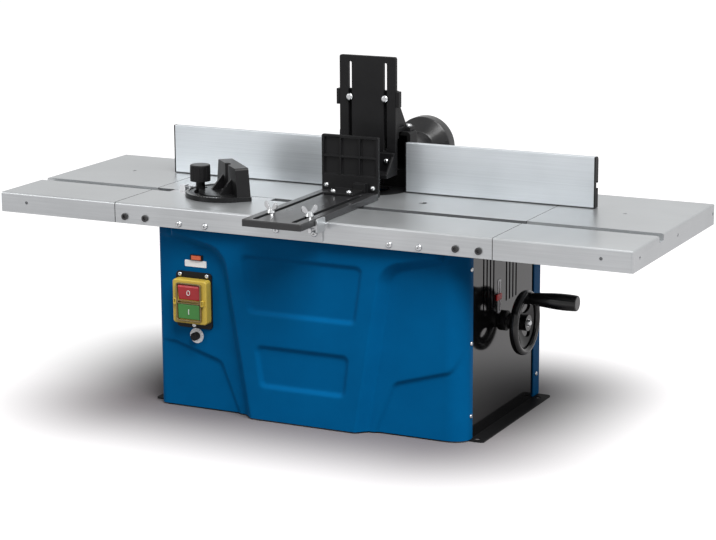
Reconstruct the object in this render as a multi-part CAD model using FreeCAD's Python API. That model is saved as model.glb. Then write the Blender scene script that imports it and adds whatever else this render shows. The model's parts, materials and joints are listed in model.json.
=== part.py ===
import FreeCAD, Part
import math
import os

os.makedirs("parts", exist_ok=True)

# Bench-top spindle moulder. Millimetres, floor at Z = 0, operator in front at -Y,
# X runs along the table, origin in the middle between the four foot holes.

# general fits
slide_gap = 0.3
running_fit = 0.05
bolt_clearance = 0.3
over = 1.0  # how far a cut runs past the face it leaves by

# table
table_height = 314.0
table_length = 610.0
table_depth = 360.0
extension_length = 205.0
skirt_height = 31.0
table_sheet = 2.5
table_bend = 3.0
seam_gap = 1.0
corner_slit = 1.0
groove_y = -63.0
groove_width = 19.0
groove_depth = 9.5
channel_wall = 1.5
stop_hole_radius = 6.5
stop_hole_x = 116.0
stop_hole_y = 5.5
level_hole_radius = 3.0
level_hole_x = 415.0
level_hole_y = 55.0
skirt_hole_radius = 2.5
skirt_hole_x = 464.0
skirt_hole_drop = 14.5
end_hole_pitch = 163.0
end_hole_middle_y = 10.0

# insert ring around the spindle
spindle_y = 80.0
insert_radius = 57.0
insert_lip = 6.0
insert_lip_thickness = 2.0
insert_bore_radius = 24.0

# covers and side panels
body_half_width = 252.0
cover_sheet = 2.0
cover_bottom = 2.5
facet_y = -149.0
switch_area_y = -153.0
centre_y = -168.0
pad_root_y = -118.0
front_edge_y = -120.0
front_corner_radius = 12.0
rear_edge_y = 114.0
rear_y = 147.0
rear_corner_radius = 10.0
recess_depth = 4.0
recess_slope = 5.0
recess_corner_radius = 8.0
shoulder_radius = 40.0
shoulder_foot_radius = 5.0
crease_radius = 15.0
crease_foot_radius = 2.0

# right halves of the pressed pads and recesses: distance in from the side, height from the table top
pad_overrun = 6.0
pad_foot = -(table_height + pad_overrun)
centre_crest = [(37.0, -2.0), (37.0, -39.0), (125.0, -58.5), (167.0, pad_foot)]
centre_root = [(cover_sheet, -2.0), (cover_sheet, -83.0), (81.5, -100.0), (116.5, pad_foot)]
switch_crest = [(22.0, -2.0), (22.0, -207.5), (110.0, -233.5), (144.0, pad_foot)]
switch_root = [(cover_sheet, -2.0), (cover_sheet, -238.0), (83.5, -262.0), (106.5, pad_foot)]
upper_recess = [(152.0, -63.5), (164.0, -151.0)]
lower_recess = [(174.0, -198.0), (182.0, -262.0)]

# side panels
panel_sheet = 2.0
panel_front_y = -130.0
panel_back_y = 136.0
panel_top_flange = 15.0
foot_width = 23.0
foot_front_y = -130.0
foot_back_y = 138.0
foot_corner_radius = 6.0
foot_hole_out = 9.0
foot_hole_pitch_y = 236.0
foot_hole_radius = 4.5
vent_width = 5.0
vent_drop = 34.0
vent_length = 100.0
vent_pitch = 12.5
vent_rows_y = (-78.0, 8.0)
vents_per_row = 4

# screws
pan_head_radius = 4.8
pan_head_height = 3.2
socket_head_radius = 5.2
socket_head_height = 2.5
small_head_radius = 3.4
small_head_height = 2.0
shoe_head_radius = 4.2
shoe_head_height = 2.5
dome_share = 0.8
skirt_screw_x = (-195.0, -151.0, 148.0, 194.0)
skirt_screw_drop = 24.0
joint_screw_x = (-288.0, -253.0, 250.0, 285.0)
joint_screw_drop = 20.5
cover_screw_front_y = -127.0
cover_screw_rear_y = 125.0
cover_screw_drop = 61.0
cover_screw_rise = 34.5

# switch group on the front cover
switch_inset = 66.0
switch_drop = 143.9
switch_plate_width = 61.0
switch_plate_height = 86.0
switch_plate_thickness = 3.0
switch_plate_radius = 6.0
switch_box_width = 58.0
switch_box_height = 67.0
switch_box_depth = 14.0
switch_box_radius = 5.0
switch_box_edge = 2.0
switch_screw_x = 23.0
switch_screw_edge = 4.5
switch_well_depth = 9.0
button_width = 36.0
button_height = 23.0
button_gap = 6.0
button_stand_out = 3.0
button_stroke = 3.0
button_radius = 0.6
button_edge = 1.2
stop_tilt = 3.0
start_tilt = 1.0
reset_offset = 4.5
reset_drop = 78.9
reset_width = 16.0
reset_height = 6.5
reset_stand_out = 4.0
reset_depth = 12.0
reset_edge = 1.0
label_offset = 2.5
label_drop = 88.4
label_width = 37.0
label_height = 10.0
label_thickness = 0.6
label_corner = 1.0
dial_offset = 2.0
dial_drop = 198.9
dial_radius = 11.5
dial_thickness = 1.0
dial_hole_radius = 4.0
speed_knob_radius = 6.0
speed_knob_height = 9.0
speed_shaft_radius = 3.0
speed_shaft_length = 10.0
speed_knob_edge = 1.0
speed_mark_width = 1.4
speed_mark_depth = 1.0
speed_mark_start = 1.5

# fences
fence_face_y = 68.0
fence_thickness = 13.0
fence_height = 77.0
fence_lift = 0.6
fence_length = 306.0
left_fence_start = -348.0
right_fence_start = 57.5
fence_back_radius = 6.0
fence_front_radius = 1.0
cap_thickness = 2.0
slot_height = 33.5
slot_mouth = 8.0
slot_mouth_depth = 3.0
slot_inner = 13.0
slot_inner_depth = 4.5
fence_bolt_x = 110.0
fence_bolt_radius = 3.5
fence_bolt_length = 24.0
fence_knob_radius = 17.0
fence_knob_height = 18.0
knob_lobes = 6
knob_lobe_radius = 6.5
knob_lobe_out = 3.5
knob_edge = 2.5

# hood behind the fences and dust port
hood_half_width = 60.0
hood_front_y = 82.0
hood_back_y = 112.0
hood_wall = 6.0
hood_height = 91.0
hood_edge_radius = 6.0
wing_reach = 150.0
wing_thickness = 8.0
wing_height = 62.0
hood_foot_reach = 96.0
hood_foot_front_y = 90.0
hood_foot_thickness = 6.0
port_x = 28.0
port_height = 49.0
port_neck_radius = 25.0
port_rim_radius = 47.0
port_wall = 3.0
port_flare_start_y = 183.0
port_rim_start_y = 197.0
port_end_y = 217.0

# guard plate, its support and shoe
guard_front_y = 57.0
guard_thickness = 7.0
guard_half_width = 47.0
guard_bottom = 33.0
guard_top = 207.0
guard_corner_radius = 3.0
guard_slot_x = 29.5
guard_slot_width = 5.5
guard_slot_bottom = 66.0
guard_slot_top = 195.0
guard_screw_height = 143.5
support_half_width = 52.5
support_wall_half = 46.0
support_flange_wide_y = 90.0
support_thickness = 7.5
support_bottom = 82.0
support_top = 155.0
ear_bottom = 131.0
ear_web = 2.5
support_flange_half = 56.0
support_flange_thickness = 6.0
support_flange_back_y = 108.0
gusset_thickness = 6.0
gusset_x = 36.0
gusset_top = 148.0
support_screw_inset = 7.0
dome_radius = 5.7
dome_height = 3.6
guard_shoe_foot = 27.0
guard_shoe_front_y = 25.0
guard_shoe_top = 62.0
guard_shoe_flange = 7.0
guard_shoe_rib = 4.0
guard_shoe_rib_inset = 2.0
guard_shoe_rib_drop = 4.0
guard_shoe_screw_x = 35.0
guard_shoe_screw_height = 50.0

# pressing arm, its shoe and bracket
arm_half_width = 47.5
arm_outreach = 76.0
arm_back_y = -5.0
arm_thickness = 10.0
arm_edge_radius = 1.5
arm_corner_radius = 3.0
arm_slot_x = 31.0
arm_slot_width = 8.0
arm_slot_outreach = 63.0
arm_slot_back_y = -30.0
press_shoe_half_width = 47.0
press_shoe_bottom = 3.0
press_shoe_top = 94.5
press_web_front_y = -1.0
press_web_back_y = 2.0
press_rim = 4.0
press_corner = 2.0
press_rib = 3.0
press_rib_x = (-16.0, 16.0)
press_rib_height = (33.0, 62.0)
press_foot_front_y = -44.0
press_foot_half = 24.0
press_foot_thickness = 4.0
press_screw_x = 13.0
press_screw_y = -34.0
press_corner_screw_x = 38.5
press_corner_screw_height = 17.5
press_boss_x = (9.0, 29.0)
press_boss_front_y = -13.0
press_boss_height = 14.0
bracket_sheet = 2.5
bracket_half_width = 44.0
bracket_drop = 28.0
bracket_reach = 32.0
bracket_tab_rise = 9.5
bracket_tab_drop = 11.0
bracket_tab_start = 6.0
bracket_tab_corner = 3.0
bracket_screw_x = 31.0
bracket_screw_drop = 18.0
wing_bolt_outreach = 17.0
wing_bolt_radius = 3.0
wing_bolt_bottom = -14.0
wing_collar_radius = 6.5
wing_collar_top_radius = 4.55
wing_collar_height = 6.0
wing_span = 13.0
wing_rise = 15.0
wing_blade = 2.2
wing_root = 2.0
wing_root_rise = 1.0
wing_low = 8.0
wing_land = 5.0
wing_corner = 2.0
wing_turns_deg = (-20.0, 60.0)
weld_nut_radius = 6.5
weld_nut_height = 5.0

# mitre gauge
mitre_pivot_x = -180.0
mitre_turn_deg = 45.0
mitre_bar_back = -275.0
mitre_bar_front = -101.0
mitre_bar_gap = 0.3
mitre_bar_thickness = 8.7
mitre_plate_radius = 62.0
mitre_plate_thickness = 6.0
mitre_rim_rise = 1.0
mitre_rim_width = 5.0
mitre_slot_radius = 45.0
mitre_slot_width = 8.0
mitre_slot_half_deg = 63.0
mitre_pin_radius = 4.0
mitre_cap_radius = 7.0
mitre_cap_height = 3.0
mitre_cap_well = 8.0
mitre_head_height = 48.0
mitre_head_start = 1.0
mitre_head_end = 22.0
mitre_head_base_half = 62.0
mitre_head_foot_half = 58.0
mitre_head_top_half = 46.0
mitre_head_corner = 4.0
mitre_rib_at = 23.0
mitre_rib_width = 6.0
mitre_rib_reach = 18.0
mitre_rib_drop = 18.0
mitre_post_half = 5.0
mitre_post_out = 12.0
mitre_post_over = 3.0
mitre_tip_length = 16.0
mitre_tip_thickness = 1.5
mitre_stud_radius = 3.0
mitre_stud_grip = 12.0
mitre_knob_radius = 15.5
mitre_knob_bottom = 19.0
mitre_knob_top = 44.0
mitre_knob_neck_radius = 7.0
mitre_knob_flutes = 18
mitre_flute_radius = 1.1
mitre_flute_inset = 3.0
mitre_knob_edge = 2.0

# handwheel and crank
wheel_drop = 164.0
wheel_radius = 48.0
wheel_rim_inner = 37.0
wheel_rim_depth = 14.0
wheel_rim_fullness = 0.72
wheel_hub_gap = 2.5
wheel_hub_length = 30.5
wheel_hub_shy = 1.0
wheel_hub_radius = 12.0
wheel_web = 5.0
wheel_web_start = 8.0
wheel_web_holes = 4
wheel_web_hole_radius = 8.5
wheel_web_hole_at = 25.0
shaft_radius = 6.0
wheel_screw_radius = 5.0
wheel_screw_height = 4.0
crank_offset = 37.0
crank_boss_radius = 9.0
grip_gap = 3.0
grip_length = 72.0
grip_root_radius = 9.0
grip_belly_radius = 13.0
grip_belly_at = 44.64
grip_end_radius = 8.0
grip_axle_radius = 4.0
grip_tip_round = 2.0
grip_end_wall = 6.0
bush_flange_radius = 15.0
bush_flange_thickness = 6.0
bush_sleeve_radius = 10.0
bush_sleeve_length = 14.0

# rise and fall
gear_module = 2.0
gear_teeth = 16
gear_face_ratio = 0.69
gear_addendum = 1.7
gear_dedendum = 2.4
gear_half_tooth = 1.32
gear_pressure_deg = 20.0
gear_back_length = 22.0
lead_screw_radius = 6.0
lead_journal_radius = 5.0
lead_screw_drop = 8.0
column_x = 62.0
column_y = 30.0
column_radius = 7.0
lift_plate_half = 80.0
lift_plate_front_y = -18.0
lift_plate_back_y = 46.0
upper_plate_thickness = 8.0
lower_plate_hang = 56.0
lower_plate_thickness = 10.0
lift_plate_corner = 8.0
journal_seat = 2.0
bearing_block_near = 30.0
bearing_block_far = 44.0
bearing_block_half = 12.0
bearing_block_over = 12.0
lead_boss_radius = 12.0
carriage_drop = 110.0
carriage_thickness = 24.0
carriage_half = 76.0
carriage_nut_radius = 15.0
carriage_ring = 12.0
carriage_nut_over = 4.0
carriage_waist_y = 14.0
carriage_shoulder_y = 48.0
carriage_nose_half = 24.0
carriage_nose_y = -18.0
carriage_neck_half = 30.0
carriage_corner = 12.0
motor_radius = 42.0
motor_top_drop = 56.0
motor_length = 196.0
motor_edge = 4.0
motor_fin_inset = 12.0
motor_fin_gap = 28.0
motor_fin_depth = 2.0
motor_fins = 24
motor_nose_radius = 26.0
motor_nose_height = 20.0
spindle_radius = 9.0
spindle_rise = 20.0
spindle_length = 72.0
collet_radius = 15.0
collet_rise = 32.0
collet_height = 24.0
collet_edge = 3.0
collet_flat = 13.5
collet_land = 8.0
collet_bore_radius = 4.0
collet_bore_depth = 28.0
pointer_y = -20.0
pointer_hang = 13.0
pointer_stem_width = 12.0
pointer_gap = 3.0
pointer_thickness = 2.0
pointer_root = 6.0
pointer_arm_height = 8.0
pointer_tip_height = 2.4
pointer_flag_before = 14.0
pointer_flag_behind = 4.0
pointer_flag_height = 9.0
pointer_flag_thickness = 2.0
pointer_flag_corner = 1.0
scale_width = 9.5
scale_height = 50.0
scale_thickness = 0.8
scale_corner = 1.0
scale_slot_width = 3.4
scale_slot_height = 42.0

# cable gland
gland_inset = 58.0
gland_z = 40.0
gland_radius = 9.0
gland_length = 16.0
gland_bore_radius = 4.0
gland_collar = 4.0
gland_collar_thickness = 4.0
gland_neck_radius = 8.5
gland_end_radius = 6.0
gland_tail = 8.0

# values that follow from the ones above
table_under = table_height - table_sheet
skirt_bottom = table_height - skirt_height
half_table = table_length / 2
half_depth = table_depth / 2
arm_front_y = -(half_depth + arm_outreach)
arm_slot_front_y = -(half_depth + arm_slot_outreach)
wing_bolt_y = -(half_depth + wing_bolt_outreach)
table_end = half_table + extension_length
cover_top = table_under
fence_back_y = fence_face_y + fence_thickness
guard_back_y = guard_front_y + guard_thickness
support_front_y = guard_back_y + slide_gap
panel_face = body_half_width - cover_sheet
arm_bottom = table_height + slide_gap
arm_top = arm_bottom + arm_thickness
gear_pitch_radius = gear_module * gear_teeth / 2
mitre_top = table_height - mitre_bar_gap
mitre_plate_bottom = table_height + slide_gap
mitre_plate_top = mitre_plate_bottom + mitre_plate_thickness
foot_hole_x = panel_face + foot_hole_out
vent_top = table_height - vent_drop
vent_bottom = vent_top - vent_length
switch_x = switch_inset - body_half_width
switch_z = table_height - switch_drop
switch_face_y = switch_area_y - switch_plate_thickness
switch_box_y = switch_face_y - switch_box_depth
button_offset = (button_height + button_gap) / 2
reset_x = switch_x + reset_offset
reset_z = table_height - reset_drop
label_x = switch_x + label_offset
label_z = table_height - label_drop
dial_x = switch_x + dial_offset
dial_z = table_height - dial_drop
wheel_z = table_height - wheel_drop
wheel_hub_near = panel_face + bush_flange_thickness + wheel_hub_gap
wheel_hub_far = wheel_hub_near + wheel_hub_length
wheel_rim_far = wheel_hub_far + wheel_hub_shy
wheel_rim_near = wheel_rim_far - wheel_rim_depth
grip_start = wheel_rim_far + grip_gap
lead_screw_top = table_height - lead_screw_drop
lower_plate_bottom = wheel_z - lower_plate_hang
carriage_bottom = table_height - carriage_drop
motor_top = table_height - motor_top_drop
motor_bottom = motor_top - motor_length
spindle_top = table_height + spindle_rise
spindle_bottom = spindle_top - spindle_length
collet_top = table_height + collet_rise
collet_bottom = collet_top - collet_height
pointer_z = carriage_bottom - pointer_hang
gland_x = gland_inset - body_half_width

X = FreeCAD.Vector(1, 0, 0)
Y = FreeCAD.Vector(0, 1, 0)
Z = FreeCAD.Vector(0, 0, 1)


def at(x, y, z):
    return FreeCAD.Vector(x, y, z)


def on_x(x):
    return lambda u, v: at(x, u, v)


def on_y(y):
    return lambda u, v: at(u, y, v)


def on_z(z):
    return lambda u, v: at(u, v, z)


def block(x0, x1, y0, y1, z0, z1):
    return Part.makeBox(x1 - x0, y1 - y0, z1 - z0, at(x0, y0, z0))


def rod(radius, start, direction, length):
    return Part.makeCylinder(radius, length, start, direction)


def fuse(shapes):
    return shapes[0].multiFuse(shapes[1:]).removeSplitter()


def rounded_wire(points, radii, place):
    if not isinstance(radii, (list, tuple)):
        radii = [radii] * len(points)
    corners = []
    for i, point in enumerate(points):
        here = FreeCAD.Vector(point[0], point[1], 0)
        before = FreeCAD.Vector(points[i - 1][0], points[i - 1][1], 0)
        after = FreeCAD.Vector(points[(i + 1) % len(points)][0], points[(i + 1) % len(points)][1], 0)
        if radii[i] == 0:
            corners.append((here, None, here))
            continue
        back = (before - here).normalize()
        ahead = (after - here).normalize()
        half = back.getAngle(ahead) / 2
        middle = (back + ahead).normalize()
        reach = radii[i] / math.tan(half)
        bulge = radii[i] / math.sin(half) - radii[i]
        corners.append((here + back * reach, here + middle * bulge, here + ahead * reach))
    edges = []
    for i, corner in enumerate(corners):
        start, bend, end = [None if p is None else place(p.x, p.y) for p in corner]
        if bend is not None:
            edges.append(Part.Arc(start, bend, end).toShape())
        following = corners[(i + 1) % len(corners)][0]
        follow = place(following.x, following.y)
        if end.distanceToPoint(follow) > 1e-6:
            edges.append(Part.makeLine(end, follow))
    return Part.Wire(edges)


def slab(points, radii, place, travel):
    return Part.Face(rounded_wire(points, radii, place)).extrude(travel)


def plate(u0, u1, v0, v1, radius, place, travel):
    return slab([(u0, v0), (u1, v0), (u1, v1), (u0, v1)], radius, place, travel)


def slot(u0, v0, u1, v1, width, place, travel):
    along = FreeCAD.Vector(u1 - u0, v1 - v0, 0).normalize()
    side = FreeCAD.Vector(-along.y, along.x, 0) * (width / 2)
    tip = along * (width / 2)
    a = FreeCAD.Vector(u0, v0, 0)
    b = FreeCAD.Vector(u1, v1, 0)

    def put(p):
        return place(p.x, p.y)
    edges = [Part.makeLine(put(a + side), put(b + side)),
             Part.Arc(put(b + side), put(b + tip), put(b - side)).toShape(),
             Part.makeLine(put(b - side), put(a - side)),
             Part.Arc(put(a - side), put(a - tip), put(a + side)).toShape()]
    return Part.Face(Part.Wire(edges)).extrude(travel)


def loft(wires):
    return Part.makeLoft(wires, True, True)


def aim(shape, start, direction):
    shape.Placement = FreeCAD.Placement(start, FreeCAD.Rotation(Z, direction))
    return shape


def turned(profile, start, direction):
    points = [at(r, 0, h) for r, h in profile]
    edges = [Part.makeLine(points[i], points[(i + 1) % len(points)]) for i in range(len(points))]
    ring = Part.Face(Part.Wire(edges)).revolve(at(0, 0, 0), Z, 360)
    return aim(ring, start, direction)


def is_ring(edge):
    return len(edge.Vertexes) == 1


def screw_head(start, direction, radius, height):
    head = Part.makeCylinder(radius, height)
    rim = [edge for edge in head.Edges if is_ring(edge) and edge.CenterOfMass.z > height / 2]
    return aim(head.makeFillet(height * dome_share, rim), start, direction)


def screw_with_shank(start, direction, radius, height, shank_radius, shank_length):
    shank = rod(shank_radius, start, direction * -1, shank_length)
    return fuse([screw_head(start, direction, radius, height), shank])


def rounded_edges(shape, radius, test):
    picked = [edge for edge in shape.Edges if test(edge)]
    return shape.makeFillet(radius, picked) if picked else shape


def runs_along(edge, axis):
    if len(edge.Vertexes) < 2:
        return False
    line = edge.Vertexes[1].Point - edge.Vertexes[0].Point
    return line.Length > 1e-6 and abs(abs(line.normalize().dot(axis)) - 1) < 1e-6


def mirrored(points):
    return points + [(-x, z) for x, z in reversed(points)]


def save(name, shape):
    shape.exportStep("parts/" + name + ".step")


# table top in three pieces, folded down at the edges

def folded_sheet(x0, x1, ends):
    outer = block(x0, x1, -half_depth, half_depth, skirt_bottom, table_height)

    def top_edge(edge):
        middle = edge.CenterOfMass
        if abs(middle.z - table_height) > 1e-6:
            return False
        if runs_along(edge, X):
            return True
        return any(abs(middle.x - end) < 1e-6 for end in ends)
    outer = rounded_edges(outer, table_bend, top_edge)
    inner_x0 = x0 + table_sheet if x0 in ends else x0 - over
    inner_x1 = x1 - table_sheet if x1 in ends else x1 + over
    inner = block(inner_x0, inner_x1, -half_depth + table_sheet, half_depth - table_sheet,
                  skirt_bottom - over, table_under)
    return outer.cut(inner)


def groove_cut(x0, x1):
    return block(x0, x1, groove_y - groove_width / 2, groove_y + groove_width / 2,
                 table_height - groove_depth, table_height + over)


def groove_trough(x0, x1):
    half = groove_width / 2 + channel_wall
    return block(x0, x1, groove_y - half, groove_y + half,
                 table_height - groove_depth - channel_wall, table_under)


def main_table():
    sheet = folded_sheet(-half_table, half_table, [])
    sheet = sheet.fuse(groove_trough(-half_table, half_table)).removeSplitter()
    sheet = sheet.cut(groove_cut(-half_table - over, half_table + over))
    holes = [rod(insert_radius, at(0, spindle_y, skirt_bottom), Z, skirt_height + over),
             rod(stop_hole_radius, at(stop_hole_x, stop_hole_y, skirt_bottom), Z, skirt_height + over)]
    return sheet.cut(Part.makeCompound(holes))


def extension_table(side):
    near = side * (half_table + seam_gap)
    far = side * table_end
    x0, x1 = min(near, far), max(near, far)
    sheet = folded_sheet(x0, x1, [far])
    sheet = sheet.fuse(groove_trough(x0, x1)).removeSplitter()
    sheet = sheet.cut(groove_cut(x0 - over, x1 + over))
    hole_z = table_height - skirt_hole_drop
    cuts = [rod(level_hole_radius, at(side * level_hole_x, level_hole_y, table_under - over), Z,
                table_sheet + 2 * over)]
    for y in (-half_depth, half_depth):
        cuts.append(block(far - table_bend, far + table_bend, y - corner_slit / 2, y + corner_slit / 2,
                          skirt_bottom - over, table_height - table_bend))
        start = at(side * skirt_hole_x, y - table_bend, hole_z)
        cuts.append(rod(skirt_hole_radius, start, Y, 2 * table_bend))
    for step in (-1, 0, 1):
        y = end_hole_middle_y + step * end_hole_pitch
        cuts.append(rod(skirt_hole_radius, at(far - table_bend, y, hole_z), X, 2 * table_bend))
    return sheet.cut(Part.makeCompound(cuts))


def insert_ring():
    ring = rod(insert_radius - slide_gap, at(0, spindle_y, table_under), Z, table_sheet)
    lip = rod(insert_radius + insert_lip, at(0, spindle_y, table_under - insert_lip_thickness), Z,
              insert_lip_thickness)
    bore = rod(insert_bore_radius, at(0, spindle_y, skirt_bottom), Z, skirt_height + over)
    return fuse([ring, lip]).cut(bore)


# covers with the pressed front

def placed(points):
    return [(body_half_width - inset, table_height + z) for inset, z in points]


def raised_pad(crest, root, crest_y, crest_radii, root_radii):
    top_outline = mirrored(placed(crest))
    base_outline = mirrored(placed(root))
    top = rounded_wire(top_outline, crest_radii + crest_radii[::-1], on_y(crest_y))
    base = rounded_wire(base_outline, root_radii + root_radii[::-1], on_y(pad_root_y))
    return loft([base, top])


def recess(points):
    edge = placed(points)
    (top_x, top_z), (low_x, low_z) = edge
    inner = [(top_x - recess_slope, top_z - recess_slope), (low_x - recess_slope, low_z + recess_slope)]
    outer = [(2 * x - u, 2 * z - v) for (x, z), (u, v) in zip(edge, inner)]
    floor = rounded_wire(mirrored(inner), recess_corner_radius, on_y(centre_y + recess_depth))
    mouth = rounded_wire(mirrored(outer), recess_corner_radius, on_y(centre_y - recess_depth))
    return loft([floor, mouth])


def front_form(inset, bottom, top):
    half = body_half_width - inset
    radius = front_corner_radius - inset
    points = [(-half, front_edge_y), (-half, facet_y + inset), (half, facet_y + inset), (half, front_edge_y)]
    base = slab(points, [0, radius, radius, 0], on_z(bottom), Z * (top - bottom))
    pads = [raised_pad(switch_crest, switch_root, switch_area_y,
                       [0, 0, crease_radius, 0], [0, 0, crease_foot_radius, 0]),
            raised_pad(centre_crest, centre_root, centre_y,
                       [0, 0, shoulder_radius, 0], [0, 0, shoulder_foot_radius, 0])]
    for pad in pads:
        pad.translate(Y * inset)
        base = base.fuse(pad.common(block(-half, half, centre_y - over, front_edge_y, bottom, top)))
    for points in (upper_recess, lower_recess):
        pocket = recess(points)
        pocket.translate(Y * inset)
        base = base.cut(pocket)
    return base.removeSplitter()


def front_cover():
    shell = front_form(0, cover_bottom, cover_top)
    shell = shell.cut(front_form(cover_sheet, cover_bottom - over, cover_top + over))
    half_width = reset_width / 2 + slide_gap
    half_height = reset_height / 2 + slide_gap
    holes = [block(reset_x - half_width, reset_x + half_width, centre_y, front_edge_y,
                   reset_z - half_height, reset_z + half_height),
             rod(dial_hole_radius, at(dial_x, centre_y, dial_z), Y, front_edge_y - centre_y)]
    return shell.cut(Part.makeCompound(holes))


def rear_cover():
    def form(inset, bottom, top):
        half = body_half_width - inset
        radius = rear_corner_radius - inset
        points = [(-half, rear_edge_y), (half, rear_edge_y), (half, rear_y - inset), (-half, rear_y - inset)]
        return slab(points, [0, 0, radius, radius], on_z(bottom), Z * (top - bottom))
    shell = form(0, cover_bottom, cover_top).cut(form(cover_sheet, cover_bottom - over, cover_top + over))
    return shell.cut(rod(gland_radius, at(gland_x, rear_edge_y, gland_z), Y, 2 * (rear_y - rear_edge_y)))


def side_panel(side):
    outer = side * panel_face
    inner = side * (panel_face - panel_sheet)
    x0, x1 = min(outer, inner), max(outer, inner)
    wall = block(x0, x1, panel_front_y, panel_back_y, 0, cover_top)
    inward = side * (panel_face - panel_top_flange)
    flange = block(min(inward, outer), max(inward, outer), panel_front_y, panel_back_y,
                   cover_top - panel_sheet, cover_top)
    foot_edge = side * (panel_face + foot_width)
    outline = [(inner, foot_front_y), (foot_edge, foot_front_y),
               (foot_edge, foot_back_y), (inner, foot_back_y)]
    foot = slab(outline, [0, foot_corner_radius, foot_corner_radius, 0], on_z(0), Z * panel_sheet)
    start = x0 - over
    through = panel_sheet + 2 * over
    panel = fuse([wall, flange, foot])
    cuts = []
    for row in vent_rows_y:
        for i in range(vents_per_row):
            y = row + i * vent_pitch
            cuts.append(slot(y, vent_bottom, y, vent_top, vent_width, on_x(start), X * through))
    for end in (-1, 1):
        hole = at(side * foot_hole_x, end * foot_hole_pitch_y / 2, -over)
        cuts.append(rod(foot_hole_radius, hole, Z, through))
    notch = groove_width / 2 + channel_wall + slide_gap
    cuts.append(block(min(inward, outer) - over, max(inward, outer) + over,
                      groove_y - notch, groove_y + notch,
                      table_height - groove_depth - channel_wall - slide_gap, table_height))
    if side > 0:
        cuts.append(rod(bush_sleeve_radius + bolt_clearance, at(start, 0, wheel_z), X, through))
        half = scale_slot_height / 2
        cuts.append(slot(pointer_y, pointer_z - half, pointer_y, pointer_z + half, scale_slot_width,
                         on_x(start), X * through))
    return panel.cut(Part.makeCompound(cuts))


def height_scale():
    half_height = scale_height / 2
    half_slot = scale_slot_height / 2
    strip = plate(pointer_y - scale_width / 2, pointer_y + scale_width / 2,
                  pointer_z - half_height, pointer_z + half_height, scale_corner,
                  on_x(panel_face), X * scale_thickness)
    opening = slot(pointer_y, pointer_z - half_slot, pointer_y, pointer_z + half_slot, scale_slot_width,
                   on_x(panel_face - over), X * (scale_thickness + 2 * over))
    return strip.cut(opening)


def cover_screws():
    high = table_height - cover_screw_drop
    low = cover_bottom + cover_screw_rise
    shapes = []
    for side in (-1, 1):
        places = [(cover_screw_front_y, z) for z in (high, (high + low) / 2, low)]
        places = places + [(cover_screw_rear_y, z) for z in (high, low)]
        for y, z in places:
            shapes.append(screw_head(at(side * body_half_width, y, z), X * side,
                                     small_head_radius, small_head_height))
    return shapes


def skirt_screws():
    shapes = []
    for side in (-1, 1):
        for x in skirt_screw_x:
            shapes.append(screw_head(at(x, side * half_depth, table_height - skirt_screw_drop), Y * side,
                                     pan_head_radius, pan_head_height))
    for x in (-bracket_screw_x, bracket_screw_x):
        shapes.append(screw_head(at(x, -half_depth - bracket_sheet, table_height - bracket_screw_drop), -Y,
                                 pan_head_radius, pan_head_height))
    return shapes


def joint_screws():
    shapes = []
    for side in (-1, 1):
        for x in joint_screw_x:
            shapes.append(rod(socket_head_radius, at(x, side * half_depth, table_height - joint_screw_drop),
                              Y * side, socket_head_height))
    return shapes


# switch group

def switch_plate():
    return plate(switch_x - switch_plate_width / 2, switch_x + switch_plate_width / 2,
                 switch_z - switch_plate_height / 2, switch_z + switch_plate_height / 2,
                 switch_plate_radius, on_y(switch_area_y), -Y * switch_plate_thickness)


def switch_box():
    box = plate(switch_x - switch_box_width / 2, switch_x + switch_box_width / 2,
                switch_z - switch_box_height / 2, switch_z + switch_box_height / 2,
                switch_box_radius, on_y(switch_face_y), -Y * switch_box_depth)
    box = rounded_edges(box, switch_box_edge, lambda e: abs(e.BoundBox.YMin - switch_box_y) < 1e-6
                        and abs(e.BoundBox.YMax - switch_box_y) < 1e-6)
    wells = []
    for offset in (button_offset, -button_offset):
        wells.append(plate(switch_x - button_width / 2 - slide_gap, switch_x + button_width / 2 + slide_gap,
                           switch_z + offset - button_height / 2 - slide_gap,
                           switch_z + offset + button_height / 2 + slide_gap,
                           button_radius, on_y(switch_box_y - over), Y * (switch_well_depth + over)))
    return box.cut(Part.makeCompound(wells))


def push_button(offset, tilt):
    back = switch_box_y + switch_well_depth - button_stroke - slide_gap
    front = switch_box_y - button_stand_out
    low = switch_z + offset - button_height / 2
    high = switch_z + offset + button_height / 2
    profile = [(back, low), (front + tilt, low), (front, high - tilt), (front + tilt / 2, high), (back, high)]
    key = slab(profile, 0, on_x(switch_x - button_width / 2), X * button_width)
    return rounded_edges(key, button_edge, lambda e: runs_along(e, X) and e.CenterOfMass.y < back - 1e-6)


def switch_screws():
    half = switch_plate_height / 2 - switch_screw_edge
    places = [(-switch_screw_x, half), (switch_screw_x, half), (0, -half)]
    starts = [at(switch_x + x, switch_face_y, switch_z + z) for x, z in places]
    return [screw_head(start, -Y, small_head_radius, small_head_height) for start in starts]


def reset_button():
    key = block(reset_x - reset_width / 2, reset_x + reset_width / 2,
                switch_area_y - reset_stand_out, switch_area_y - reset_stand_out + reset_depth,
                reset_z - reset_height / 2, reset_z + reset_height / 2)
    return rounded_edges(key, reset_edge,
                         lambda e: abs(e.CenterOfMass.y - switch_area_y + reset_stand_out) < 1e-6)


def label_plate():
    return plate(label_x - label_width / 2, label_x + label_width / 2, label_z - label_height / 2,
                 label_z + label_height / 2, label_corner, on_y(switch_area_y), -Y * label_thickness)


def dial_ring():
    ring = rod(dial_radius, at(dial_x, switch_area_y, dial_z), -Y, dial_thickness)
    start = at(dial_x, switch_area_y + over, dial_z)
    return ring.cut(rod(dial_hole_radius, start, -Y, dial_thickness + 2 * over))


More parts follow.
